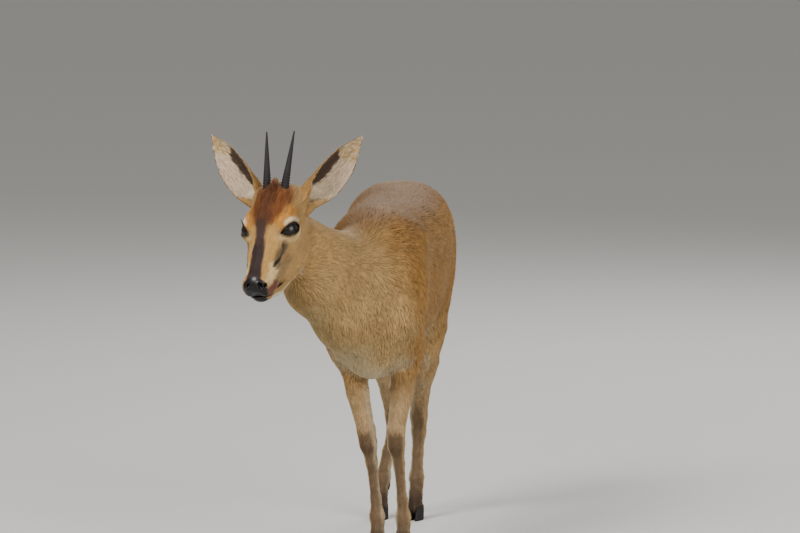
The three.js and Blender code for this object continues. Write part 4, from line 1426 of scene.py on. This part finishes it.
    @staticmethod
    def bare_nose(local: Array) -> Array:
        """How much of each point of the head belongs to the wet nose and the black chin.

        Args:
            local: Points of the head's frame.

        Returns:
            Shares from 0 to 1.
        """
        side = np.abs(local[:, 1])
        start = 87.0 + 0.014 * side**2 + 0.2 * np.abs(local[:, 2] + 6)
        pad = smooth(-1.6, 1.0, local[:, 0] - start) * smooth(-26.5, -24.5, local[:, 2])
        pad *= smooth(19.5, 17.0, side + 0.12 * np.abs(local[:, 2] + 8))
        chin = smooth(89.0, 92.0, local[:, 0]) * smooth(-46.0, -42.0, local[:, 2]) * smooth(13.0, 9.0, side)
        return np.maximum(pad, chin)


MARKINGS = Markings()


class Look(Enum):
    """Materials of the model."""

    SKIN = "bare skin under the coat"
    COAT = "hair of the coat"
    EYE = "wet eye"
    LID = "wet lid rim"
    HORN = "ringed horn"
    HOOF = "hoof horn"
    NOSE = "wet nose"


COAT_ROUGHNESS = 0.04


@dataclass(frozen=True)
class Finish:
    """One material: how rough, how glossy, and how its grain is raised."""

    look: Look
    roughness: float
    specular: float = 0.5
    gloss_coat: float = 0.0
    sheen: float = 0.0
    grain: float = 0.0
    grain_size: float = 900.0
    grain_depth: float = 0.0002
    tone: tuple[float, float, float] | None = None

    def material(self) -> bpy.types.Material:
        """The material, made the first time that it is asked for."""
        name = self.look.name.lower()
        found = bpy.data.materials.get(name)
        if found:
            return found
        made = bpy.data.materials.new(name)
        made.use_nodes = True
        nodes, links = made.node_tree.nodes, made.node_tree.links
        shader = nodes["Principled BSDF"]
        shader.inputs["Roughness"].default_value = self.roughness
        shader.inputs["Specular IOR Level"].default_value = self.specular
        shader.inputs["Coat Weight"].default_value = self.gloss_coat
        shader.inputs["Coat Roughness"].default_value = COAT_ROUGHNESS
        shader.inputs["Sheen Weight"].default_value = self.sheen
        if self.tone:
            shader.inputs["Base Color"].default_value = (*shade(*self.tone), 1.0)
        else:
            tone = nodes.new("ShaderNodeAttribute")
            tone.attribute_name = "Tone"
            links.new(tone.outputs["Color"], shader.inputs["Base Color"])
        if self.grain:
            place = nodes.new("ShaderNodeTexCoord")
            noise = nodes.new("ShaderNodeTexNoise")
            noise.inputs["Scale"].default_value = self.grain_size
            noise.inputs["Detail"].default_value = 3.0
            bump = nodes.new("ShaderNodeBump")
            bump.inputs["Strength"].default_value = self.grain
            bump.inputs["Distance"].default_value = self.grain_depth
            links.new(place.outputs["Object"], noise.inputs["Vector"])
            links.new(noise.outputs["Fac"], bump.inputs["Height"])
            links.new(bump.outputs["Normal"], shader.inputs["Normal"])
        return made


FINISHES = {
    finish.look: finish
    for finish in (
        Finish(Look.SKIN, 0.7, 0.35, grain=0.5, grain_size=1400.0, grain_depth=0.0003),
        Finish(Look.COAT, 0.62, 0.3, sheen=0.06),
        Finish(Look.EYE, 0.04, 0.06),
        Finish(Look.LID, 0.28, 0.5, grain=0.3, grain_size=1500.0, tone=(38, 30, 28)),
        Finish(Look.HORN, 0.38, 0.16, grain=0.5, grain_size=500.0),
        Finish(Look.HOOF, 0.4, 0.5, grain=0.4, grain_size=420.0),
        Finish(Look.NOSE, 0.36, 0.4, gloss_coat=0.2, grain=0.5, grain_size=900.0, grain_depth=0.0004),
    )
}


class Placing:
    """Moves millimetres of the body's frame into the scene."""

    def __init__(self) -> None:
        """Takes the move from the left eye's place among the solids."""
        low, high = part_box("eye_left")
        middle = (np.array(low) + np.array(high)) / 2
        self.move = middle - HEAD.outward(EYES[0].middle()[None])[0] * MM

    def metres(self, points: Array) -> Array:
        """Points of the body's frame, in metres in the scene."""
        return points * MM + self.move


PLACING = Placing()


def build_piece(
    name: str,
    points: Array,
    triangles: Array,
    look: Look,
    tones: Array | None = None,
    normals: Array | None = None,
    unwrap: Array | None = None,
) -> bpy.types.Object:
    """Makes one piece of the model and rides it on the body.

    Args:
        name: Name of the piece.
        points: Its points, in millimetres of the body's frame.
        triangles: Rows of three or four point numbers.
        look: Its material.
        tones: Colour of each point.
        normals: Direction of each point, where it isn't the shape's own.
        unwrap: Place of each corner of each face on the flat unwrap, 0 to 1.

    Returns:
        The object.
    """
    mesh = bpy.data.meshes.new(name)
    sides = triangles.shape[1]
    mesh.vertices.add(len(points))
    mesh.vertices.foreach_set("co", PLACING.metres(points).astype(np.float32).ravel())
    mesh.loops.add(triangles.size)
    mesh.loops.foreach_set("vertex_index", triangles.astype(np.int32).ravel())
    mesh.polygons.add(len(triangles))
    mesh.polygons.foreach_set("loop_start", np.arange(0, triangles.size, sides, dtype=np.int32))
    mesh.update(calc_edges=True)
    mesh.shade_smooth()
    if tones is not None:
        colour = mesh.color_attributes.new("Tone", "FLOAT_COLOR", "POINT")
        full = np.concatenate([np.clip(tones, 0.0, 1.0), np.ones((len(tones), 1))], axis=1)
        colour.data.foreach_set("color", full.astype(np.float32).ravel())
    if unwrap is not None:
        layer = mesh.uv_layers.new(name="OFBake")
        layer.uv.foreach_set("vector", np.clip(unwrap, 0.0, 1.0).astype(np.float32).ravel())
    if normals is not None:
        mesh.normals_split_custom_set_from_vertices(normals.astype(np.float32))
    piece = bpy.data.objects.new(name, mesh)
    bpy.context.scene.collection.objects.link(piece)
    mesh.materials.append(FINISHES[look].material())
    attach(piece, "root")
    LOG.info("%s: %d faces", name, len(triangles))
    return piece


def closed_faces(rows: int, ring: int) -> Array:
    """Triangles between rows of ring points each, with a flat cap at either end.

    Args:
        rows: Number of rows.
        ring: Points in each row.

    Returns:
        Three point numbers for each triangle.
    """
    a, b, c, d = ring_corners(rows, ring)
    last = (rows - 1) * ring
    caps = np.arange(1, ring - 1)
    corners = (
        (a, b, c), (a, c, d),
        (np.zeros_like(caps), caps + 1, caps), (np.full_like(caps, last), last + caps, last + caps + 1),
    )
    return np.concatenate([np.stack(three, axis=1) for three in corners])


def tube(line: Array, radii: Array, sides: int = 8) -> tuple[Array, Array]:
    """A closed tube along a line of points.

    Args:
        line: Points along its middle.
        radii: Radius at each point.
        sides: Number of sides.

    Returns:
        Points and triangles.
    """
    way = unit(np.gradient(line, axis=0))
    rough = np.array([0.31, 0.22, 0.93])
    side = unit(np.cross(way, rough))
    other = np.cross(way, side)
    turn = np.linspace(0, 2 * math.pi, sides, endpoint=False)
    ring = side[:, None] * np.cos(turn)[None, :, None] + other[:, None] * np.sin(turn)[None, :, None]
    points = (line[:, None] + ring * radii[:, None, None]).reshape(-1, 3)
    return points, closed_faces(len(line), sides)


def gathered(parts: Sequence[tuple[Array, Array]]) -> tuple[Array, Array]:
    """Several sets of points and triangles as one."""
    points, faces, count = [], [], 0
    for some, triangles in parts:
        points.append(some)
        faces.append(triangles + count)
        count += len(some)
    return np.concatenate(points), np.concatenate(faces)


class Eyeball:
    """One eye: a wet ball with a dark iris, a rim along its lids, and lashes."""

    def __init__(self, eye: EyeSocket) -> None:
        """Keeps the socket."""
        self.eye = eye
        self.name = side_name(eye.side)

    def build(self) -> None:
        """Makes the ball, the rim and the lashes."""
        eye, name = self.eye, self.name
        rows, ring = 48, 64
        polar = np.linspace(0.0001, math.pi - 0.0001, rows)
        turn = np.linspace(0, 2 * math.pi, ring, endpoint=False)
        p, t = np.meshgrid(polar, turn, indexing="ij")
        local = np.stack([np.sin(p) * np.cos(t), np.sin(p) * np.sin(t), np.cos(p)], axis=-1).reshape(-1, 3)
        bulge = 1.0 + 0.035 * smooth(0.8, 0.25, np.linalg.norm(local[:, :2], axis=1)) * (local[:, 2] > 0)
        points = HEAD.outward(eye.outward(local * (eye.radius - 0.15) * bulge[:, None]))
        a, b, c, d = ring_corners(rows, ring)
        faces = np.stack([a, d, c, b], axis=1)
        if eye.side > 0:
            faces = faces[:, ::-1]
        iris = np.hypot(local[:, 0] * 0.8, local[:, 1])
        tone = mixed(np.tile(Tone.PUPIL, (len(local), 1)), Tone.IRIS, smooth(0.28, 0.42, iris))
        tone = mixed(tone, Tone.EYE_EDGE, smooth(0.62, 0.74, iris)) * 0.5
        ball = build_piece(f"eyeball_{name}", points, faces, Look.EYE, tone)
        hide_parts(f"eye_{name}")
        self.build_rim()
        self.build_lashes()

    def on_lid(self, share: Array, grow: float, out: float) -> Array:
        """Points along the lids, seen from the eye.

        Args:
            share: Share of the way round the lids, 0 to 1.
            grow: How far outside the almond, in millimetres.
            out: How far above the ball, in millimetres.

        Returns:
            A row for each share.
        """
        flat = self.eye.outline(share, grow)
        radius = self.eye.radius + out
        height = np.sqrt(np.maximum(radius**2 - (flat**2).sum(axis=1), 9.0))
        return np.column_stack([flat, height])

    def build_rim(self) -> None:
        """The bare wet edge of both lids."""
        share = np.linspace(0, 1, 73)
        line = HEAD.outward(self.eye.outward(self.on_lid(share, 0.35, 0.55)))
        thick = 0.75 + 0.3 * np.abs(np.sin(2 * math.pi * share))
        build_piece(f"lid_rim_{self.name}", *tube(line, thick, 8), Look.LID)

    def build_lashes(self) -> None:
        """Short dark lashes along the upper lid."""
        rng = np.random.default_rng(41)
        parts = []
        for share in np.linspace(0.1, 0.44, 26):
            share = share + rng.uniform(-0.004, 0.004)
            start = self.on_lid(np.array([share]), 0.8, 1.2)[0]
            flat = self.eye.outline(np.array([share]), 6.0)[0]
            length = rng.uniform(5.0, 7.5)
            way = unit(np.array([flat[0] * 0.5 - 3.0, flat[1], 9.0]))
            bend = np.array([0.0, 1.0, -0.2])
            steps = np.linspace(0, 1, 5)[:, None]
            line = start + way * length * steps + bend * steps**2 * 2.4
            parts.append(tube(HEAD.outward(self.eye.outward(line)), 0.22 * (1.05 - np.linspace(0, 1, 5)), 4))
        build_piece(f"lashes_{self.name}", *gathered(parts), Look.LID)


@dataclass(frozen=True)
class Horn:
    """One short horn, ringed over its lower part, with painted highlights on the crests of the rings."""

    side: float
    base: Triple = (-54.0, 12.6, 26.0)
    tip: Triple = (-132.0, 21.0, 70.5)
    radius: float = 6.1
    rings: int = 8
    ringed: float = 0.36

    def build(self) -> None:
        """Makes the horn."""
        rows, sides = 150, 28
        t = np.linspace(0, 1, rows)
        base, tip = (np.array(end) * (1.0, self.side, 1.0) for end in (self.base, self.tip))
        line = HEAD.outward(base + (tip - base) * t[:, None])
        wave = np.maximum(np.sin(t / self.ringed * self.rings * 2 * math.pi - 1.4), -0.5)
        bump = 0.7 * wave * (1 - t) * smooth(0.4, 0.3, t) * smooth(-0.01, 0.03, t)
        radius = np.maximum(self.radius * (1 - 0.86 * t**1.1) + bump, 0.2)
        radius[-3:] *= (0.85, 0.6, 0.2)
        points, faces = tube(line, radius, sides)
        # Painted highlight: the crests of the rings near the base are lightened; the drift below adds random
        # streaks of tone.
        edges = 0.9 * np.maximum(wave, 0) ** 2 * smooth(0.4, 0.32, t)
        streaks_and_ring_highlight = 0.8 + 0.35 * drift(points, (3.0, 3.0, 14.0), 51) + np.repeat(edges, sides)
        tone = Tone.HORN[None] * np.clip(streaks_and_ring_highlight, 0.4, 2.6)[:, None]
        name = side_name(self.side)
        piece = build_piece(f"horn_sheath_{name}", points, faces, Look.HORN, tone)
        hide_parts(f"horn_{name}")


class Foot:
    """One foot: two claws and two dewclaws."""

    LENGTH, WIDTH, HEIGHT, CLEFT = 36.0, 12.5, 21.0, 2.2
    DEWCLAW_LENGTH = 15.0

    def __init__(self, leg: Leg) -> None:
        """Keeps the leg."""
        self.leg = leg

    def claw(self, inner: float) -> tuple[Array, Array]:
        """Points and triangles of one claw."""
        sides = 36
        share = np.linspace(0, 1, 13)
        scale = profile([(0, 1), (0.34, 0.95), (0.72, 0.82), (1, 0.62)])(share)
        back = profile([(0, 0), (0.34, 1.5), (0.72, 5), (1, 8)])(share)
        rows = []
        for i, part in enumerate(share):
            turn = np.linspace(0, 2 * math.pi, sides, endpoint=False)
            size = scale[i] - 0.012 * (math.sin(part * 40) > 0.3) - 0.03 * (i == 0)
            ahead = np.cos(turn) * self.LENGTH / 2 * size
            taper = 1 - 0.42 * np.maximum(ahead / (self.LENGTH / 2), 0)
            aside = np.sin(turn) * self.WIDTH / 2 * math.sqrt(size) * taper
            x = np.maximum(aside, -0.4 * self.WIDTH) + 0.4 * self.WIDTH + self.CLEFT / 2
            rows.append(np.stack([x * inner, back[i] - ahead, np.full(sides, part * self.HEIGHT)], axis=1))
        points = np.concatenate(rows)
        cosine, sine = math.cos(self.leg.splay), math.sin(self.leg.splay)
        x, y, z = points.T
        foot_x, foot_y = self.leg.foot
        points = np.stack([x * cosine - y * sine + foot_x, x * sine + y * cosine + foot_y, z], axis=1)
        faces = closed_faces(len(share), sides)
        return points, faces if inner > 0 else faces[:, ::-1]

    def dewclaw(self, side: float) -> tuple[Array, Array]:
        """Points and triangles of one dewclaw."""
        x, y, z = self.leg.joints[-3].at
        middle = np.array([x + side * 5.6, y + 9.5, z - 15.0])
        steps = np.linspace(-0.5, 0.5, 10)
        line = middle + np.array([0.0, 0.36, -0.93]) * self.DEWCLAW_LENGTH * steps[:, None]
        return tube(line, 4.2 * np.sqrt(np.clip(0.54 - steps, 0.03, 1.0)), 14)

    def build(self) -> None:
        """Makes the claws and dewclaws."""
        end, side = self.leg.name.split("_")
        parts = [self.claw(LEFT), self.claw(RIGHT), self.dewclaw(LEFT), self.dewclaw(RIGHT)]
        points, faces = gathered(parts)
        grain = 0.9 + 0.3 * drift(points, (6.0, 6.0, 1.6), 61)
        tone = Tone.HOOF[None] * grain[:, None]
        piece = build_piece(f"hooves_{end}_{side}", points, faces, Look.HOOF, tone)
        nodes = [f"{end}{kind}_{side}_{place}" for kind in ("hoof", "dewclaw") for place in ("inner", "outer")]
        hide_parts(*nodes)


FLESH_NODES = (
    "torso", "neck", "head", "tail", "ear_left", "ear_right",
    "foreleg_left", "foreleg_right", "hindleg_left", "hindleg_right",
    "forecannon_left", "forecannon_right", "hindcannon_left", "hindcannon_right",
)


class Coat:
    """The skin and all the tufts that grow on it."""

    REGIONS = (
        ("neck", -math.inf, -10.0), ("shoulder", -10.0, 130.0),
        ("flank", 130.0, 290.0), ("haunch", 290.0, math.inf),
    )
    LEG_TOP = 300.0
    CREST_TUFTS = 150
    DARK_SHARE, PALE_SHARE = 0.24, 0.2

    def __init__(self) -> None:
        """Draws the skin of body and ears and lays it out on its unwrap."""
        self.rng = np.random.default_rng(20)
        self.flesh = Flesh()
        self.lie = Lie()
        surface = SkinNet(self.flesh).surface()
        top = surface.unwrap[..., 1].max() + 4.0
        for number, ear in enumerate(EARS):
            surface = surface.joined(ear_surface(ear, np.array([number * 130.0, top])))
        surface.unwrap = (surface.unwrap + 2.0) * (1.0 / (surface.unwrap.max() + 4.0))
        self.surface = surface
        LOG.info("skin: %d points, %d triangles", len(surface.points), len(surface.triangles))

    def build(self) -> None:
        """Makes the skin and its coat."""
        surface = self.surface
        point_kind = np.zeros(len(surface.points), dtype=int)
        point_kind[surface.triangles.ravel()] = np.repeat(surface.kind, 3)
        tones = MARKINGS.at(surface.points, surface.normals, point_kind)
        tones *= (0.86 + 0.1 * drift(surface.points, 4.0, 71))[:, None]
        skin = build_piece(
            "skin", surface.points, surface.triangles, Look.SKIN, tones, surface.normals,
            surface.unwrap.reshape(-1, 2),
        )
        local = HEAD.inward(surface.points[surface.triangles].mean(axis=1))
        wet = (MARKINGS.bare_nose(local) > 0.5) & (surface.kind == Kind.HEAD)
        skin.data.materials.append(FINISHES[Look.NOSE].material())
        skin.data.polygons.foreach_set("material_index", wet.astype(np.int32))
        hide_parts(*FLESH_NODES)
        self.build_tufts()

    def density(self) -> Array:
        """Tufts to a square millimetre, for each triangle."""
        surface = self.surface
        middle = surface.points[surface.triangles].mean(axis=1)
        local = HEAD.inward(middle)
        kind = surface.kind
        density = 0.2 + 0.03 * smooth(300, 200, middle[:, 2]) + 0.14 * smooth(20, -70, middle[:, 1])
        density = np.where(kind == Kind.HEAD, 0.15 + 0.36 * smooth(-75, -40, local[:, 0]), density)
        density += 0.08 * (kind == Kind.HEAD) * smooth(10, 40, local[:, 0])
        density = np.where(kind == Kind.TAIL, 0.3, density)
        return np.where(kind >= Kind.EAR_OUTSIDE, 0.42, density)

    def build_tufts(self) -> None:
        """Grows the coat in pieces."""
        roots = self.surface.scattered(self.density(), self.rng)
        ear = roots.kind >= Kind.EAR_OUTSIDE
        self.grow_ears(roots.only(ear))
        roots = roots.only(~ear)
        local = HEAD.inward(roots.points)
        roots = roots.only(self.clear_of_bare_skin(local, roots))
        local = HEAD.inward(roots.points)
        x, y, z = roots.points.T
        on_head = roots.kind == Kind.HEAD
        tail = roots.kind == Kind.TAIL
        leg = (z < self.LEG_TOP) & (roots.kind >= Kind.FORE_LEFT) & ~tail
        middle = HIP_X * np.clip(y, 0, 450) / 450
        trunk = ~(on_head | tail | leg)
        for side, sign in (("left", LEFT), ("right", RIGHT)):
            here = trunk & ((x - middle) * sign > 0)
            for region, front, rear in self.REGIONS:
                self.grow(f"coat_{region}_{side}", roots.only(here & (y >= front) & (y < rear)))
            self.grow(f"coat_head_{side}", roots.only(on_head & (local[:, 1] * sign > 0)))
        self.grow("coat_forelegs", roots.only(leg & (y < MID_BODY)))
        self.grow("coat_hindlegs", roots.only(leg & (y >= MID_BODY)))
        self.grow("coat_tail", roots.only(tail))
        self.grow_crest()

    def clear_of_bare_skin(self, local: Array, roots: Roots) -> Array:
        """Mask of roots away from nose, lips, lids, glands and hooves.

        Args:
            local: The roots in the head's frame.
            roots: The places that the tufts grow from.

        Returns:
            True where a tuft may grow.
        """
        keep = MARKINGS.bare_nose(local) < 0.4
        for eye in EYES:
            seen = eye.inward(local)
            keep &= ~((eye.opening(seen) < 2.3) & (seen[:, 2] > 0.0))
        keep &= gland_reach(local, 1.3) > 0.5
        line = np.abs(local[:, 2] - mouth_height(local[:, 0]))
        keep &= ~((line < 1.6) & (local[:, 0] > 56.0) & (roots.kind == Kind.HEAD))
        return keep & (roots.points[:, 2] > 19.0)

    def lengths(self, roots: Roots) -> tuple[Array, Array, Array]:
        """Length, width and height above the skin of each tuft.

        Args:
            roots: The places that the tufts grow from.

        Returns:
            The three measures, in millimetres.
        """
        local = HEAD.inward(roots.points)
        y, z = roots.points.T[1:]
        neck = smooth(40, -70, y)
        length = 16.0 - 6.5 * smooth(320, 210, z) - 3.5 * smooth(200, 60, z) - 4.0 * neck
        height = 3.8 - 2.4 * smooth(330, 230, z) - 1.9 * neck
        on_head = roots.kind == Kind.HEAD
        face = smooth(-78, -35, local[:, 0])
        length = np.where(on_head, 13.0 - 6.6 * face - 2.0 * smooth(20, 80, local[:, 0]), length)
        height = np.where(on_head, 2.6 - 1.5 * face, height)
        tail = roots.kind == Kind.TAIL
        length = np.where(tail, 30.0 - 12.0 * smooth(470, 440, y), length)
        height = np.where(tail, 5.0, height)
        ragged = self.rng.normal(1.0, 0.16, len(length))
        length = length * np.clip(ragged, 0.6, 1.4)
        width = 0.36 + 0.066 * length
        return length, width, height * np.clip(self.rng.normal(0.92, 0.18, len(length)), 0.45, 1.25)

    def grow_crest(self) -> None:
        """Long chestnut hair standing up between the horns."""
        rng = self.rng
        count = self.CREST_TUFTS
        local = [rng.uniform(-64, -46, count), rng.normal(0, 3.2, count), np.full(count, 60.0)]
        local = np.stack(local, axis=1)
        for _ in range(30):
            local[:, 2] -= np.clip(self.flesh.skull(local), 0.0, 4.0) * 0.9
        points = HEAD.outward(local)
        normals = self.flesh.slope(points)
        roots = Roots(points, normals, self.places_near(points), np.full(count, Kind.HEAD))
        way = [rng.normal(-0.75, 0.2, count), rng.normal(0, 0.16, count), rng.normal(0.7, 0.14, count)]
        way = unit(HEAD.turned(np.stack(way, axis=1)))
        length = rng.uniform(6, 14, count) * smooth(10, 2, np.abs(local[:, 1]))
        tones = self.tones(roots, way, length * 0.2)
        tones = mixed(tones, Tone.CREST, np.full(tones.shape[:2], 0.5))
        Tufts(roots, way, length, 0.5 + 0.07 * length, np.full(count, 0.6), tones).build("crest")

    def places_near(self, points: Array) -> Array:
        """Place on the unwrap of the skin nearest each point.

        Args:
            points: Points of the body's frame.

        Returns:
            Places on the unwrap, a row for each point.
        """
        middle = self.surface.points[self.surface.triangles].mean(axis=1)
        close = np.flatnonzero(np.linalg.norm(middle - points.mean(axis=0), axis=1) < 60.0)
        away = np.linalg.norm(points[:, None] - middle[close][None], axis=2)
        return self.surface.unwrap[close[away.argmin(axis=1)]].mean(axis=1)

    def grow(self, name: str, roots: Roots) -> None:
        """Makes one piece of the coat.

        Args:
            name: Name of the piece.
            roots: The places that the tufts grow from.
        """
        length, width, height = self.lengths(roots)
        way = self.lie.at(roots.points, roots.normals)
        tones = self.tones(roots, way, length)
        Tufts(roots, way, length, width, height, tones, self.flesh).build(name)

    def tones(self, roots: Roots, way: Array, length: Array) -> Array:
        """Colours of the seven points of each tuft.

        Args:
            roots: The places that the tufts grow from.
            way: Direction of each tuft.
            length: Length of each tuft, in millimetres.

        Returns:
            Red, green and blue for each of the seven points.
        """
        count = len(length)
        at_root = MARKINGS.at(roots.points, roots.normals, roots.kind)
        further = roots.points + way * (length * 0.4)[:, None]
        at_tip = MARKINGS.at(further, roots.normals, roots.kind)
        base = (at_root + at_tip) / 2
        streak = 1.0 + 0.13 * drift(roots.points, 9.0, 81) + self.rng.normal(0.0, 0.1, count)
        base = base * np.clip(streak, 0.5, 1.5)[:, None]
        local = HEAD.inward(roots.points)
        ticked = 1.0 - 0.6 * ((roots.kind == Kind.HEAD) & (local[:, 0] > -60))
        back = smooth(0, 90, roots.points[:, 1]) * smooth(250, 340, roots.points[:, 2])
        ticked = ticked * (1.0 + 1.1 * back)
        dark = (self.rng.random(count) < self.DARK_SHARE * ticked) * self.rng.uniform(0.4, 0.8, count)
        pale = (self.rng.random(count) < self.PALE_SHARE) * self.rng.uniform(0.1, 0.35, count)
        tip = mixed(base, base * 0.32, dark)
        tip = mixed(tip, np.minimum(base * 1.5 + 0.05, 0.9), pale)
        root = base * 0.7
        rows = [root, root, root, base, base, mixed(base, tip, np.full(count, 0.35)), tip]
        return np.stack(rows, axis=1)

    def grow_ears(self, roots: Roots) -> None:
        """Short hair on the ears, pale and longer along their edges.

        Args:
            roots: The places that the tufts grow from.
        """
        local = HEAD.inward(roots.points)
        inside = roots.kind == Kind.EAR_INSIDE
        for ear in EARS:
            mine = np.sign(local[:, 1]) == ear.side
            foot, axis, _, across = ear.frame()
            here = roots.only(mine)
            within = inside[mine]
            away = here.points - foot
            along = away @ axis / (axis @ axis)
            keep = (along > -0.3) & (self.rng.random(len(along)) < np.where(within, 0.6, 1.0))
            here, within, away, along = here.only(keep), within[keep], away[keep], along[keep]
            count = len(along)
            way = unit(axis) + across * (0.25 * drift(here.points, 12.0, 91))[:, None]
            way = unit(way - here.normals * (way * here.normals).sum(axis=1)[:, None])
            aside = (away @ across) * ear.side
            foot_hair = within * smooth(0.4, 0.2, along) * smooth(-2.0, 4.0, aside)
            length = np.where(within, 7.0 + 5.0 * foot_hair, 6.0) * self.rng.uniform(0.7, 1.25, count)
            height = np.where(within, 1.1 + 0.9 * foot_hair, 0.8) * self.rng.uniform(0.6, 1.3, count)
            short = 1.0 - 0.45 * smooth(0.65, 0.95, along)
            length, height = length * short, height * short
            tones = self.tones(here, way, length)
            dark = tones[:, 3].mean(axis=1) < 0.12
            pale = (within & ~dark & (self.rng.random(count) < 0.7))[:, None, None]
            tones = np.where(pale, np.maximum(tones, Tone.EAR_PALE_HAIR), tones)
            Tufts(here, way, length, 0.35 + 0.07 * length, height, tones).build(f"coat_ear_{ear.name}")


@dataclass(frozen=True)
class Studio:
    """Floor, soft lights and camera."""

    azimuth: float = 10.0
    elevation: float = 6.0
    distance: float = 8000.0
    scale: float = 1.395
    lens: float = 258.0
    floor_half: float = 40.0
    between_eyes: Triple = (-109.0, -185.0, 486.0)
    eyes_in_frame: tuple[float, float] = (270.7, 233.4)
    frame_middle: tuple[float, float] = (400.0, 266.5)
    lights: tuple[tuple[str, Triple, float, float], ...] = (
        ("key", (-1.6, -2.6, 2.9), 1.5, 98.0),
        ("fill", (2.6, -2.2, 1.6), 2.4, 70.0),
        ("back", (0.6, 2.8, 2.6), 2.0, 44.0),
        ("spark", (-0.5, -3.0, 1.5), 0.2, 9.0),
    )

    def build(self) -> None:
        """Makes floor, lights and camera."""
        self.build_floor()
        for light in self.lights:
            self.build_light(*light)
        world = bpy.data.worlds.new("room")
        world.use_nodes = True
        sky = world.node_tree.nodes["Background"].inputs
        sky["Color"].default_value = (0.86, 0.86, 0.85, 1.0)
        sky["Strength"].default_value = 0.42
        bpy.context.scene.world = world
        bpy.context.scene.view_settings.look = "AgX - Medium High Contrast"
        self.build_camera()

    def build_floor(self) -> None:
        """A pale floor that the animal stands on."""
        mesh = bpy.data.meshes.new("floor")
        half = self.floor_half
        corners = [(x * half, y * half, 0) for x, y in ((-1, -1), (1, -1), (1, 1), (-1, 1))]
        mesh.from_pydata(corners, [], [(0, 1, 2, 3)])
        floor = bpy.data.objects.new("floor", mesh)
        bpy.context.scene.collection.objects.link(floor)
        material = bpy.data.materials.new("floor_paper")
        material.use_nodes = True
        shader = material.node_tree.nodes["Principled BSDF"]
        shader.inputs["Base Color"].default_value = (0.62, 0.61, 0.58, 1.0)
        shader.inputs["Roughness"].default_value = 0.85
        mesh.materials.append(material)

    def build_light(self, name: str, place: Triple, size: float, power: float) -> None:
        """One soft square light turned to the animal.

        Args:
            name: Name of the light.
            place: Its place, in metres.
            size: Side of the square, in metres.
            power: Power, in watts.
        """
        lamp = bpy.data.lights.new(f"light_{name}", "AREA")
        lamp.size = size
        lamp.energy = power
        light = bpy.data.objects.new(f"light_{name}", lamp)
        light.location = place
        light.rotation_euler = (Vector((0, 0, 0.32)) - Vector(place)).to_track_quat("-Z", "Y").to_euler()
        bpy.context.scene.collection.objects.link(light)

    def build_camera(self) -> None:
        """The camera that sees the animal as the photo does."""
        azimuth, elevation = math.radians(self.azimuth), math.radians(self.elevation)
        right = np.array([math.cos(azimuth), math.sin(azimuth), 0.0])
        level = math.cos(elevation)
        back = np.array([math.sin(azimuth) * level, -math.cos(azimuth) * level, math.sin(elevation)])
        up = np.cross(back, right)
        (x, y), (middle_x, middle_y) = self.eyes_in_frame, self.frame_middle
        shift = right * ((x - middle_x) * self.scale)
        place = np.array(self.between_eyes) - shift - up * ((middle_y - y) * self.scale)
        place = place + back * self.distance
        camera = bpy.data.cameras.new("camera")
        camera.lens = self.lens
        camera.sensor_width = 36.0
        camera.clip_end = 60.0
        eye = bpy.data.objects.new("camera", camera)
        eye.location = PLACING.metres(place[None])[0]
        eye.rotation_euler = Vector(back).to_track_quat("Z", "Y").to_euler()
        bpy.context.scene.collection.objects.link(eye)
        bpy.context.scene.camera = eye


def main() -> None:
    """Builds the animal piece by piece, then the studio."""
    logging.basicConfig(level=logging.INFO, format="%(message)s")
    Coat().build()
    for eye in EYES:
        Eyeball(eye).build()
    for side in (LEFT, RIGHT):
        Horn(side).build()
    for leg in LEGS:
        Foot(leg).build()
    Studio().build()


if __name__ == "__main__":
    main()
